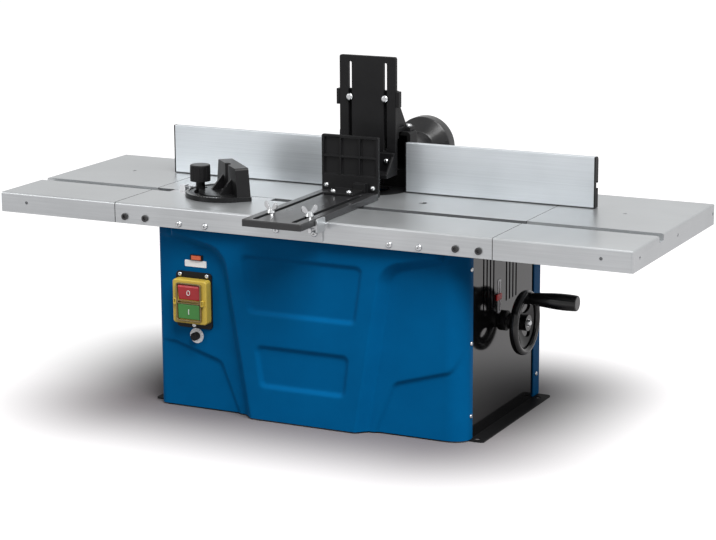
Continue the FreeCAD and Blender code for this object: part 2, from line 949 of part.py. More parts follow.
def speed_knob():
    front = switch_area_y - dial_thickness - slide_gap
    body = rod(speed_knob_radius, at(dial_x, front, dial_z), -Y, speed_knob_height)
    end = front - speed_knob_height
    body = rounded_edges(body, speed_knob_edge, lambda e: e.BoundBox.YMax < end + 1e-6)
    shaft = rod(speed_shaft_radius, at(dial_x, front, dial_z), Y, speed_shaft_length)
    mark = block(dial_x - speed_mark_width / 2, dial_x + speed_mark_width / 2,
                 end - over, end + speed_mark_depth,
                 dial_z + speed_mark_start, dial_z + speed_knob_radius + over)
    return body.fuse(shaft).removeSplitter().cut(mark)


# fences, hood and dust port

def fence_profile():
    low = table_height + fence_lift
    high = table_height + fence_height
    mid = table_height + slot_height
    mouth = slot_mouth / 2
    inner = slot_inner / 2
    neck_y = fence_back_y - slot_mouth_depth
    deep_y = neck_y - slot_inner_depth
    return [(fence_face_y, low), (fence_back_y, low), (fence_back_y, mid - mouth), (neck_y, mid - mouth),
            (neck_y, mid - inner), (deep_y, mid - inner), (deep_y, mid + inner), (neck_y, mid + inner),
            (neck_y, mid + mouth), (fence_back_y, mid + mouth), (fence_back_y, high), (fence_face_y, high)]


def fence_stretch(x0, x1):
    radii = [0] * 10 + [fence_back_radius, fence_front_radius]
    return slab(fence_profile(), radii, on_x(x0), X * (x1 - x0))


def fence(start):
    return fence_stretch(start + cap_thickness, start + fence_length - cap_thickness)


def fence_caps(start):
    return [fence_stretch(start, start + cap_thickness),
            fence_stretch(start + fence_length - cap_thickness, start + fence_length)]


def fence_hood():
    base = table_height
    outer = block(-hood_half_width, hood_half_width, hood_front_y, hood_back_y, base, base + hood_height)

    def outside_edge(edge):
        middle = edge.CenterOfMass
        if runs_along(edge, Z):
            return middle.y > hood_back_y - 1e-6
        return middle.z > base + hood_height - 1e-6 and middle.y > hood_front_y + 1e-6
    outer = rounded_edges(outer, hood_edge_radius, outside_edge)
    hollow = block(-hood_half_width + hood_wall, hood_half_width - hood_wall, hood_front_y - over,
                   hood_back_y - hood_wall, base - over, base + hood_height - hood_wall)
    shapes = [outer]
    for side in (-1, 1):
        near = side * (hood_half_width - hood_wall)
        far = side * wing_reach
        shapes.append(block(min(near, far), max(near, far), hood_front_y, hood_front_y + wing_thickness,
                            base, base + wing_height))
        tip = side * hood_foot_reach
        shapes.append(block(min(near, tip), max(near, tip), hood_foot_front_y, hood_back_y - hood_edge_radius,
                            base, base + hood_foot_thickness))
    shapes = fuse(shapes).cut(hollow)
    shapes = shapes.cut(rod(port_neck_radius - port_wall, at(port_x, hood_back_y - 2 * hood_wall,
                                                            base + port_height), Y, 4 * hood_wall))
    holes = []
    for side in (-1, 1):
        start = at(side * fence_bolt_x, hood_front_y - over, base + slot_height)
        holes.append(rod(fence_bolt_radius + bolt_clearance, start, Y, wing_thickness + 2 * over))
    return shapes.cut(Part.makeCompound(holes))


def dust_port():
    neck = port_neck_radius
    rim = port_rim_radius
    wall = port_wall
    flare = port_flare_start_y - hood_back_y
    rim_start = port_rim_start_y - hood_back_y
    end = port_end_y - hood_back_y
    profile = [(neck - wall, 0), (neck, 0), (neck, flare), (rim, rim_start), (rim, end),
               (rim - wall, end), (rim - wall, rim_start + wall), (neck - wall, flare + wall)]
    return turned(profile, at(port_x, hood_back_y, table_height + port_height), Y)


def fence_bolts():
    shapes = []
    z = table_height + slot_height
    neck_y = fence_back_y - slot_mouth_depth
    half = slot_inner / 2 - 2 * slide_gap
    head = slot_inner_depth - 2 * slide_gap
    for side in (-1, 1):
        x = side * fence_bolt_x
        tee = block(x - half, x + half, neck_y - slide_gap - head, neck_y - slide_gap, z - half, z + half)
        shank = rod(fence_bolt_radius, at(x, neck_y - slide_gap, z), Y, fence_bolt_length)
        shapes.append(tee.fuse(shank).removeSplitter())
        foot_x = side * (hood_half_width + hood_foot_reach) / 2
        foot_y = (hood_foot_front_y + hood_back_y - hood_edge_radius) / 2
        shapes.append(screw_head(at(foot_x, foot_y, table_height + hood_foot_thickness), Z,
                                 dome_radius, dome_height))
    return shapes


def fence_knob(side):
    x = side * fence_bolt_x
    z = table_height + slot_height
    start = hood_front_y + wing_thickness + slide_gap
    knob = rod(fence_knob_radius, at(x, start, z), Y, fence_knob_height)
    knob = rounded_edges(knob, knob_edge, lambda e: e.BoundBox.YMin > start + fence_knob_height - 1e-6)
    cuts = []
    for i in range(knob_lobes):
        angle = 2 * math.pi * (i + 0.5) / knob_lobes
        reach = fence_knob_radius + knob_lobe_out
        lobe = at(x + reach * math.cos(angle), start - over, z + reach * math.sin(angle))
        cuts.append(rod(knob_lobe_radius, lobe, Y, fence_knob_height + 2 * over))
    depth = hood_front_y - fence_back_y + slot_mouth_depth + slide_gap
    cuts.append(rod(fence_bolt_radius + running_fit, at(x, start - over, z), Y,
                    fence_bolt_length - depth - wing_thickness + 2 * over))
    return knob.cut(Part.makeCompound(cuts))


# guard plate over the cutter

def guard_plate():
    base = table_height
    body = plate(-guard_half_width, guard_half_width, base + guard_bottom, base + guard_top,
                 [0, 0, guard_corner_radius, guard_corner_radius], on_y(guard_front_y), Y * guard_thickness)
    cuts = []
    for x in (-guard_slot_x, guard_slot_x):
        cuts.append(slot(x, base + guard_slot_bottom, x, base + guard_slot_top, guard_slot_width,
                         on_y(guard_front_y - over), Y * (guard_thickness + 2 * over)))
    return body.cut(Part.makeCompound(cuts))


def guard_support():
    base = table_height
    back = support_front_y + support_thickness
    flange_bottom = base + hood_height
    flange_top = flange_bottom + support_flange_thickness
    wall = block(-support_wall_half, support_wall_half, support_front_y, back,
                 base + support_bottom, base + support_top)
    ears = block(-support_half_width, support_half_width, support_front_y, support_front_y + ear_web,
                 base + ear_bottom, base + support_top)
    tongue = block(-support_wall_half, support_wall_half, support_front_y, support_flange_back_y,
                   flange_bottom, flange_top)
    flange = block(-support_flange_half, support_flange_half, support_flange_wide_y, support_flange_back_y,
                   flange_bottom, flange_top)
    shapes = [wall, ears, tongue, flange]
    for side in (-1, 1):
        inner = side * (guard_half_width + slide_gap)
        outer = side * support_half_width
        shapes.append(block(min(inner, outer), max(inner, outer), guard_front_y, support_front_y + over,
                            base + ear_bottom, base + support_top))
        near = side * gusset_x
        root_y = back - over
        root_z = flange_top - over
        rib = [(root_y, root_z), (support_flange_back_y, root_z), (support_flange_back_y, flange_top),
               (back, base + gusset_top), (root_y, base + gusset_top)]
        shapes.append(slab(rib, 0, on_x(near), X * side * gusset_thickness))
    return fuse(shapes)


def guard_screws():
    shapes = []
    for x in (-guard_slot_x, guard_slot_x):
        start = at(x, guard_front_y - slide_gap, table_height + guard_screw_height)
        shapes.append(screw_with_shank(start, -Y, dome_radius, dome_height, guard_slot_width / 2 - slide_gap,
                                       guard_thickness + 2 * slide_gap))
    for x in (support_screw_inset - support_flange_half, support_flange_half - support_screw_inset):
        shapes.append(screw_head(at(x, (support_flange_wide_y + support_flange_back_y) / 2,
                                    table_height + hood_height + support_flange_thickness), Z,
                                 dome_radius, dome_height))
    return shapes


def guard_shoe():
    base = table_height
    foot = block(-guard_half_width, guard_half_width, guard_shoe_front_y, guard_back_y,
                 base + guard_shoe_foot, base + guard_bottom)
    front = guard_front_y - guard_shoe_flange
    flange = block(-guard_half_width, guard_half_width, front, guard_front_y,
                   base + guard_bottom - over, base + guard_shoe_top)
    shapes = [foot, flange]
    rib_foot = base + guard_bottom - over
    rib = [(guard_shoe_front_y + guard_shoe_rib_inset, rib_foot), (front + over, rib_foot),
           (front + over, base + guard_shoe_top - guard_shoe_rib_drop)]
    for x in (-guard_half_width, -guard_shoe_rib / 2, guard_half_width - guard_shoe_rib):
        shapes.append(slab(rib, 0, on_x(x), X * guard_shoe_rib))
    return fuse(shapes)


def guard_shoe_screws():
    front = guard_front_y - guard_shoe_flange
    z = table_height + guard_shoe_screw_height
    return [screw_head(at(x, front, z), -Y, shoe_head_radius, shoe_head_height)
            for x in (-guard_shoe_screw_x, guard_shoe_screw_x)]


# pressing arm on the table

def press_arm():
    body = plate(-arm_half_width, arm_half_width, arm_front_y, arm_back_y,
                 [arm_corner_radius, arm_corner_radius, 0, 0], on_z(arm_bottom), Z * arm_thickness)
    body = rounded_edges(body, arm_edge_radius, lambda e: e.BoundBox.ZMin > arm_top - 1e-6
                         and e.CenterOfMass.y < arm_back_y - 1e-6)
    cuts = [slot(x, arm_slot_front_y, x, arm_slot_back_y, arm_slot_width, on_z(arm_bottom - over),
                 Z * (arm_thickness + 2 * over)) for x in (-arm_slot_x, arm_slot_x)]
    return body.cut(Part.makeCompound(cuts))


def press_shoe():
    base = table_height
    low = base + press_shoe_bottom
    high = base + press_shoe_top
    half = press_shoe_half_width
    body = plate(-half, half, low, high, press_corner, on_y(arm_back_y), Y * (press_web_back_y - arm_back_y))
    uprights = [x + s * press_rib / 2 for x in press_rib_x for s in (-1, 1)]
    uprights = [press_rim - half] + uprights + [half - press_rim]
    levels = [base + h + s * press_rib / 2 for h in press_rib_height for s in (-1, 1)]
    levels = levels[1:] + [high - press_rim]
    cells = []
    for left, right in zip(uprights[::2], uprights[1::2]):
        for floor, roof in zip(levels[::2], levels[1::2]):
            cells.append(block(left, right, arm_back_y - over, press_web_front_y, floor, roof))
    body = body.cut(Part.makeCompound(cells))
    foot = block(-press_foot_half, press_foot_half, press_foot_front_y, arm_back_y + over, arm_top,
                 arm_top + press_foot_thickness)
    boss = block(*press_boss_x, press_boss_front_y, arm_back_y + over, arm_top, arm_top + press_boss_height)
    return fuse([body, foot, boss])


def shoe_screws():
    shapes = []
    for x in (-press_screw_x, press_screw_x):
        shapes.append(screw_head(at(x, press_screw_y, arm_top + press_foot_thickness), Z, shoe_head_radius,
                                 shoe_head_height))
    for x in (-press_corner_screw_x, press_corner_screw_x):
        start = at(x, arm_back_y, table_height + press_corner_screw_height)
        shapes.append(screw_head(start, -Y, shoe_head_radius, shoe_head_height))
    return shapes


def arm_bracket():
    front = -half_depth
    edge = arm_half_width + 2 * slide_gap
    apron = block(-bracket_half_width, bracket_half_width, front - bracket_sheet, front,
                  table_height - bracket_drop, table_height)
    shelf = block(-edge - bracket_sheet, edge + bracket_sheet, front - bracket_reach, front,
                  table_height - bracket_sheet, table_height)
    shapes = [apron, shelf]
    for side in (-1, 1):
        near = side * edge
        far = side * (edge + bracket_sheet)
        shapes.append(plate(front - bracket_reach, front - bracket_tab_start, table_height - bracket_tab_drop,
                            table_height + bracket_tab_rise, bracket_tab_corner, on_x(min(near, far)),
                            X * bracket_sheet))
        nut = Part.makePolygon([at(side * arm_slot_x + weld_nut_radius * math.cos(math.pi * i / 3),
                                   wing_bolt_y + weld_nut_radius * math.sin(math.pi * i / 3),
                                   table_height - bracket_sheet) for i in range(7)])
        shapes.append(Part.Face(Part.Wire(nut)).extrude(-Z * weld_nut_height))
    bore_bottom = table_height - bracket_sheet - weld_nut_height - over
    bore_length = table_height + over - bore_bottom
    bores = [rod(wing_bolt_radius + running_fit, at(x, wing_bolt_y, bore_bottom), Z, bore_length)
             for x in (-arm_slot_x, arm_slot_x)]
    return fuse(shapes).cut(Part.makeCompound(bores))


def wing_screw(side, turn):
    x = side * arm_slot_x
    start = arm_top + slide_gap
    shank = rod(wing_bolt_radius, at(x, wing_bolt_y, table_height + wing_bolt_bottom), Z,
                start - table_height - wing_bolt_bottom)
    collar = Part.makeCone(wing_collar_radius, wing_collar_top_radius, wing_collar_height,
                           at(x, wing_bolt_y, start), Z)
    shapes = [shank, collar]
    for hand in (-1, 1):
        outline = [(hand * wing_root, start + wing_root_rise), (hand * wing_span, start + wing_low),
                   (hand * wing_span, start + wing_rise), (hand * (wing_span - wing_land), start + wing_rise),
                   (hand * wing_root, start + wing_collar_height)]
        wire = rounded_wire(outline, [0, wing_corner, wing_corner, wing_corner, 0],
                            lambda u, v: at(x + u, wing_bolt_y - wing_blade / 2, v))
        shapes.append(Part.Face(wire).extrude(Y * wing_blade))
    screw = fuse(shapes)
    screw.rotate(at(x, wing_bolt_y, 0), Z, turn)
    return screw


# mitre gauge in the table groove

def mitre_bar():
    half = groove_width / 2 - mitre_bar_gap
    bar = block(mitre_bar_back, mitre_bar_front, groove_y - half, groove_y + half,
                mitre_top - mitre_bar_thickness, mitre_top)
    pin_length = mitre_plate_top - mitre_top + slide_gap
    pin = rod(mitre_pin_radius, at(mitre_pivot_x, groove_y, mitre_top), Z, pin_length)
    cap = rod(mitre_cap_radius, at(mitre_pivot_x, groove_y, mitre_plate_top + slide_gap), Z, mitre_cap_height)
    stud = rod(mitre_stud_radius, at(mitre_pivot_x - mitre_slot_radius, groove_y, mitre_top), Z,
               table_height + mitre_knob_bottom + mitre_stud_grip - mitre_top)
    post_x = mitre_pivot_x - mitre_plate_radius - mitre_post_out
    post_half = mitre_post_half
    tip_bottom = mitre_plate_top + mitre_rim_rise + slide_gap
    post = block(post_x - post_half, post_x + post_half, groove_y - post_half, groove_y + post_half,
                 mitre_top, tip_bottom + mitre_post_over)
    outline = [(post_x, groove_y - post_half), (post_x + mitre_tip_length, groove_y),
               (post_x, groove_y + post_half)]
    tip = slab(outline, 0, on_z(tip_bottom), Z * mitre_tip_thickness)
    return fuse([bar, pin, cap, stud, post, tip])


def mitre_head():
    radius = mitre_plate_radius
    bottom = mitre_plate_bottom
    disc = rod(radius, at(0, 0, bottom), Z, mitre_plate_thickness)
    rim = rod(radius, at(0, 0, bottom), Z, mitre_plate_thickness + mitre_rim_rise)
    rim = rim.cut(rod(radius - mitre_rim_width, at(0, 0, bottom - over), Z,
                      mitre_plate_thickness + mitre_rim_rise + 2 * over))
    root = mitre_head_start + over
    top = table_height + mitre_head_height
    back_half = block(-radius - over, root, -radius - over, radius + over, bottom - over, top)
    face = [(-mitre_head_foot_half, bottom), (mitre_head_foot_half, bottom),
            (mitre_head_top_half, top), (-mitre_head_top_half, top)]
    wall = slab(face, [0, 0, mitre_head_corner, mitre_head_corner], on_x(mitre_head_start),
                X * (mitre_head_end - mitre_head_start))
    back_rib = [(root, bottom + over), (mitre_head_start - mitre_rib_reach, bottom + mitre_plate_thickness),
                (root, top - mitre_rib_drop)]
    sole = block(mitre_head_start, mitre_head_end, -mitre_head_base_half, mitre_head_base_half,
                 bottom, bottom + mitre_plate_thickness)
    shapes = [disc.common(back_half), rim.common(back_half), sole, wall]
    for middle in (-mitre_rib_at, mitre_rib_at):
        shapes.append(slab(back_rib, 0, on_y(middle - mitre_rib_width / 2), Y * mitre_rib_width))
    head = fuse(shapes)
    below = at(0, 0, bottom - over)
    through = mitre_plate_thickness + 2 * over
    cuts = [rod(mitre_pin_radius + running_fit, below, Z, through),
            rod(mitre_cap_well, at(0, 0, bottom + mitre_plate_thickness), Z, top - bottom)]
    ring = rod(mitre_slot_radius + mitre_slot_width / 2, below, Z, through)
    ring = ring.cut(rod(mitre_slot_radius - mitre_slot_width / 2, below, Z, through))
    spread = math.radians(mitre_slot_half_deg)
    reach_x = -2 * radius * math.cos(spread)
    reach_y = 2 * radius * math.sin(spread)
    wedge = slab([(0, 0), (reach_x, -reach_y), (-2 * radius, 0), (reach_x, reach_y)], 0, on_z(bottom - over),
                 Z * through)
    cuts.append(ring.common(wedge))
    head = head.cut(Part.makeCompound(cuts))
    head.rotate(at(0, 0, 0), Z, mitre_turn_deg)
    head.translate(at(mitre_pivot_x, groove_y, 0))
    return head


def mitre_knob():
    x = mitre_pivot_x - mitre_slot_radius
    low = table_height + mitre_knob_bottom
    high = table_height + mitre_knob_top
    grip = rod(mitre_knob_radius, at(x, groove_y, low), Z, high - low)
    grip = rounded_edges(grip, mitre_knob_edge, lambda e: is_ring(e) and e.CenterOfMass.z > high - 1e-6)
    neck_bottom = mitre_plate_top + slide_gap
    neck = rod(mitre_knob_neck_radius, at(x, groove_y, neck_bottom), Z, low - neck_bottom)
    cuts = []
    for i in range(mitre_knob_flutes):
        angle = 2 * math.pi * i / mitre_knob_flutes
        place = at(x + mitre_knob_radius * math.cos(angle), groove_y + mitre_knob_radius * math.sin(angle),
                   low + mitre_flute_inset)
        cuts.append(rod(mitre_flute_radius, place, Z, high - low - 2 * mitre_flute_inset))
    cuts.append(rod(mitre_stud_radius + running_fit, at(x, groove_y, neck_bottom - over), Z,
                    low + mitre_stud_grip + 2 * over - neck_bottom))
    return fuse([grip, neck]).cut(Part.makeCompound(cuts))


# handwheel with crank

def handwheel():
    rim_middle = (wheel_rim_inner + wheel_radius) / 2
    rim_half = (wheel_radius - wheel_rim_inner) / 2
    rim_x = (wheel_rim_near + wheel_rim_far) / 2
    rim_deep = (wheel_rim_far - wheel_rim_near) / 2
    bulge = wheel_rim_fullness
    points = [(rim_x - rim_deep, rim_middle), (rim_x - bulge * rim_deep, rim_middle + bulge * rim_half),
              (rim_x, wheel_radius), (rim_x + bulge * rim_deep, rim_middle + bulge * rim_half),
              (rim_x + rim_deep, rim_middle), (rim_x + bulge * rim_deep, rim_middle - bulge * rim_half),
              (rim_x, wheel_rim_inner), (rim_x - bulge * rim_deep, rim_middle - bulge * rim_half)]
    spots = [at(x, 0, r) for x, r in points]
    edges = [Part.Arc(spots[i], spots[i + 1], spots[(i + 2) % 8]).toShape() for i in (0, 2, 4, 6)]
    rim = Part.Face(Part.Wire(edges)).revolve(at(0, 0, 0), X, 360)
    web_near = wheel_hub_near + wheel_web_start
    web_far = web_near + wheel_web
    web_rim = rim_x - wheel_web / 2
    dish = [(web_near, 0), (web_near, wheel_hub_radius), (web_rim, rim_middle),
            (web_rim + wheel_web, rim_middle), (web_far, wheel_hub_radius), (web_far, 0)]
    web = Part.Face(Part.makePolygon([at(x, 0, r) for x, r in dish + dish[:1]])).revolve(at(0, 0, 0), X, 360)
    hub = rod(wheel_hub_radius, at(wheel_hub_near, 0, 0), X, wheel_hub_far - wheel_hub_near)
    boss = rod(crank_boss_radius, at(web_rim, 0, crank_offset), X, grip_start - slide_gap - web_rim)
    wheel = fuse([rim, web, hub, boss])
    cuts = [rod(shaft_radius, at(wheel_hub_near - over, 0, 0), X, wheel_hub_length + 2 * over),
            rod(grip_axle_radius, at(rim_x - 2 * rim_deep, 0, crank_offset), X, 4 * rim_deep)]
    for i in range(wheel_web_holes):
        angle = 2 * math.pi * (i + 0.5) / wheel_web_holes
        place = at(wheel_hub_near, wheel_web_hole_at * math.sin(angle), wheel_web_hole_at * math.cos(angle))
        cuts.append(rod(wheel_web_hole_radius, place, X, wheel_rim_far - wheel_hub_near))
    wheel = wheel.cut(Part.makeCompound(cuts))
    wheel.translate(Z * wheel_z)
    return wheel


def wheel_screws():
    hub = screw_head(at(wheel_hub_far, 0, wheel_z), X, wheel_screw_radius, wheel_screw_height)
    rim_x = (wheel_rim_near + wheel_rim_far) / 2
    axle = rod(grip_axle_radius, at(rim_x - wheel_web / 2, 0, wheel_z + crank_offset), X,
               grip_start + grip_length - grip_end_wall - rim_x + wheel_web / 2)
    return [hub, axle]


def crank_grip():
    length = grip_length
    root = at(0, grip_root_radius, 0)
    belly = at(grip_belly_at, grip_belly_radius, 0)
    tip = at(length, grip_end_radius, 0)
    edges = [Part.makeLine(at(0, 0, 0), root),
             Part.Arc(root, belly, tip).toShape(),
             Part.makeLine(tip, at(length, 0, 0)),
             Part.makeLine(at(length, 0, 0), at(0, 0, 0))]
    grip = Part.Face(Part.Wire(edges)).revolve(at(0, 0, 0), X, 360)
    grip = rounded_edges(grip, grip_tip_round, lambda e: is_ring(e) and e.CenterOfMass.x > length - 1e-6)
    grip = grip.cut(rod(grip_axle_radius + running_fit, at(-over, 0, 0), X,
                        length - grip_end_wall + over + slide_gap))
    grip.translate(at(grip_start, 0, wheel_z + crank_offset))
    return grip


def shaft_bush():
    flange = rod(bush_flange_radius, at(panel_face, 0, wheel_z), X, bush_flange_thickness)
    sleeve = rod(bush_sleeve_radius, at(panel_face - bush_sleeve_length, 0, wheel_z), X, bush_sleeve_length)
    bore = rod(shaft_radius + running_fit, at(panel_face - bush_sleeve_length - over, 0, wheel_z), X,
               bush_sleeve_length + bush_flange_thickness + 2 * over)
    return fuse([flange, sleeve]).cut(bore)


# bevel gears and rise-and-fall gear

def bevel_gear(bore, phase_deg):
    inner = gear_face_ratio
    lean = math.sqrt(0.5)
    tip = (gear_pitch_radius - gear_addendum * lean, gear_pitch_radius + gear_addendum * lean)
    root = (gear_pitch_radius + gear_dedendum * lean, gear_pitch_radius - gear_dedendum * lean)
    sink = gear_dedendum + over
    sunk = (gear_pitch_radius + sink * lean, gear_pitch_radius - sink * lean)
    flank = math.tan(math.radians(gear_pressure_deg))
    tip_half = gear_half_tooth - gear_addendum * flank
    sunk_half = gear_half_tooth + sink * flank
    profile = [(bore, root[0] * inner), (root[1] * inner, root[0] * inner), (root[1], root[0]),
               (root[1], gear_back_length), (bore, gear_back_length)]
    body = turned(profile, at(0, 0, 0), Z)

    def quad(scale):
        spots = [at(tip[1], -tip_half, tip[0]), at(tip[1], tip_half, tip[0]),
                 at(sunk[1], sunk_half, sunk[0]), at(sunk[1], -sunk_half, sunk[0])]
        return Part.makePolygon([p * scale for p in spots + spots[:1]])
    teeth = []
    for i in range(gear_teeth):
        tooth = loft([quad(1.0), quad(inner)])
        tooth.rotate(at(0, 0, 0), Z, 360.0 * i / gear_teeth + phase_deg)
        teeth.append(tooth)
    return fuse([body] + teeth)


def wheel_shaft():
    pinion = bevel_gear(shaft_radius, 0)
    pinion.rotate(at(0, 0, 0), Y, 90)
    pinion.translate(Z * wheel_z)
    near = (gear_pitch_radius + gear_dedendum * math.sqrt(0.5)) * gear_face_ratio
    shaft = rod(shaft_radius, at(near, 0, wheel_z), X, wheel_hub_far - near)
    return fuse([pinion, shaft])


def lead_screw():
    gear = bevel_gear(lead_journal_radius, 180.0 / gear_teeth)
    gear.rotate(at(0, 0, 0), X, 180)
    gear.translate(Z * wheel_z)
    journal_bottom = lower_plate_bottom + journal_seat
    near = wheel_z - (gear_pitch_radius + gear_dedendum * math.sqrt(0.5)) * gear_face_ratio
    journal = rod(lead_journal_radius, at(0, 0, journal_bottom), Z, near - journal_bottom)
    screw = rod(lead_screw_radius, at(0, 0, near), Z, lead_screw_top - near)
    return fuse([gear, journal, screw])


def lift_frame():
    upper_bottom = table_under - upper_plate_thickness
    lower_top = lower_plate_bottom + lower_plate_thickness
    shapes = []
    for side in (-1, 1):
        shapes.append(rod(column_radius, at(side * column_x, column_y, lower_plate_bottom), Z,
                          table_under - lower_plate_bottom))
    plates = [(upper_bottom, upper_plate_thickness), (lower_plate_bottom, lower_plate_thickness)]
    for bottom, thickness in plates:
        shapes.append(plate(-lift_plate_half, lift_plate_half, lift_plate_front_y, lift_plate_back_y,
                            lift_plate_corner, on_z(bottom), Z * thickness))
    boss_top = wheel_z - gear_back_length - slide_gap
    shapes.append(rod(lead_boss_radius, at(0, 0, lower_top - over), Z, boss_top - lower_top + over))
    shapes.append(block(bearing_block_near, bearing_block_far, -bearing_block_half, bearing_block_half,
                        lower_top - over, wheel_z + bearing_block_over))
    frame = fuse(shapes)
    seat = lower_plate_bottom + journal_seat - slide_gap
    mouth = upper_bottom - over
    below = lower_plate_bottom - over
    cuts = [rod(shaft_radius + running_fit, at(bearing_block_near - over, 0, wheel_z), X,
                bearing_block_far - bearing_block_near + 2 * over),
            rod(lead_journal_radius + running_fit, at(0, 0, seat), Z, boss_top - seat + over),
            rod(lead_screw_radius + running_fit, at(0, 0, mouth), Z, lead_screw_top + slide_gap - mouth),
            rod(insert_radius + insert_lip + slide_gap, at(0, spindle_y, below), Z, table_height - below)]
    return frame.cut(Part.makeCompound(cuts))


def carriage():
    ring_radius = motor_radius + carriage_ring
    below = carriage_bottom - over
    through = carriage_thickness + 2 * over
    ring = rod(ring_radius, at(0, spindle_y, carriage_bottom), Z, carriage_thickness)
    outline = mirrored([(carriage_nose_half, carriage_nose_y), (carriage_half, carriage_waist_y),
                        (carriage_half, carriage_shoulder_y), (carriage_neck_half, spindle_y)])
    corners = [carriage_corner] * 3 + [0, 0] + [carriage_corner] * 3
    yoke = slab(outline, corners, on_z(carriage_bottom), Z * carriage_thickness)
    nut_bottom = carriage_bottom - carriage_nut_over
    nut_height = carriage_thickness + 2 * carriage_nut_over
    nut = rod(carriage_nut_radius, at(0, 0, nut_bottom), Z, nut_height)
    body = fuse([ring, yoke, nut])
    cuts = [rod(motor_radius, at(0, spindle_y, below), Z, through),
            rod(lead_screw_radius + running_fit, at(0, 0, nut_bottom - over), Z, nut_height + 2 * over)]
    for side in (-1, 1):
        cuts.append(rod(column_radius + running_fit, at(side * column_x, column_y, below), Z, through))
    return body.cut(Part.makeCompound(cuts))


def motor_housing():
    can = rod(motor_radius, at(0, spindle_y, motor_bottom), Z, motor_top - motor_bottom)
    nose = rod(motor_nose_radius, at(0, spindle_y, motor_top - over), Z, motor_nose_height + over)
    body = fuse([can, nose])
    body = rounded_edges(body, motor_edge, lambda e: is_ring(e) and e.CenterOfMass.z < motor_bottom + 1e-6)
    cuts = [rod(spindle_radius + running_fit, at(0, spindle_y, spindle_bottom - over), Z, spindle_length)]
    fin_length = carriage_bottom - motor_fin_gap - motor_bottom - motor_fin_inset
    for i in range(motor_fins):
        angle = 2 * math.pi * i / motor_fins
        x = motor_radius * math.cos(angle)
        y = spindle_y + motor_radius * math.sin(angle)
        cuts.append(rod(motor_fin_depth, at(x, y, motor_bottom + motor_fin_inset), Z, fin_length))
    return body.cut(Part.makeCompound(cuts))


def spindle_shaft():
    shaft = rod(spindle_radius, at(0, spindle_y, spindle_bottom), Z, spindle_length)
    bore = rod(collet_bore_radius, at(0, spindle_y, collet_top - collet_bore_depth), Z, collet_bore_depth)
    return shaft.cut(bore)


def collet_nut():
    body = rod(collet_radius, at(0, spindle_y, collet_bottom), Z, collet_height)
    body = rounded_edges(body, collet_edge, lambda e: is_ring(e) and e.CenterOfMass.z > collet_top - 1e-6)
    reach = collet_radius + over
    below = at(0, spindle_y, collet_bottom - over)
    cuts = [rod(spindle_radius, below, Z, spindle_top - collet_bottom + over),
            rod(collet_bore_radius, below, Z, collet_height + 2 * over)]
    for i in range(6):
        slice_off = block(collet_flat, reach, -reach, reach, collet_bottom - over, collet_top - collet_land)
        slice_off.rotate(at(0, 0, 0), Z, 60 * i)
        slice_off.translate(Y * spindle_y)
        cuts.append(slice_off)
    for cut in cuts:
        body = body.cut(cut)
    return body


def height_pointer():
    half = pointer_thickness / 2
    inner = panel_face - panel_sheet - pointer_gap
    low = pointer_z - pointer_arm_height / 2
    arm = block(pointer_root, inner, pointer_y - half, pointer_y + half, low, low + pointer_arm_height)
    stem = block(pointer_root, pointer_root + pointer_stem_width, pointer_y - half, pointer_y + half, low,
                 carriage_bottom)
    tip_half = pointer_tip_height / 2
    flag_x = panel_face + scale_thickness + slide_gap
    tip = block(inner - over, flag_x + over, pointer_y - half, pointer_y + half,
                pointer_z - tip_half, pointer_z + tip_half)
    flag_half = pointer_flag_height / 2
    flag = plate(pointer_y - pointer_flag_before, pointer_y + pointer_flag_behind,
                 pointer_z - flag_half, pointer_z + flag_half, pointer_flag_corner,
                 on_x(flag_x), X * pointer_flag_thickness)
    return fuse([arm, stem, tip, flag])


def cable_gland():
    tail_y = rear_y - gland_tail
    neck_y = rear_y + gland_collar_thickness
    collar = rod(gland_radius + gland_collar, at(gland_x, rear_y, gland_z), Y, gland_collar_thickness)
    sleeve = Part.makeCone(gland_neck_radius, gland_end_radius, gland_length, at(gland_x, neck_y, gland_z), Y)
    tail = rod(gland_radius - bolt_clearance, at(gland_x, tail_y, gland_z), Y, gland_tail)
    bore_length = neck_y + gland_length - tail_y + 2 * over
    bore = rod(gland_bore_radius, at(gland_x, tail_y - over, gland_z), Y, bore_length)
    return fuse([collar, sleeve, tail]).cut(bore)


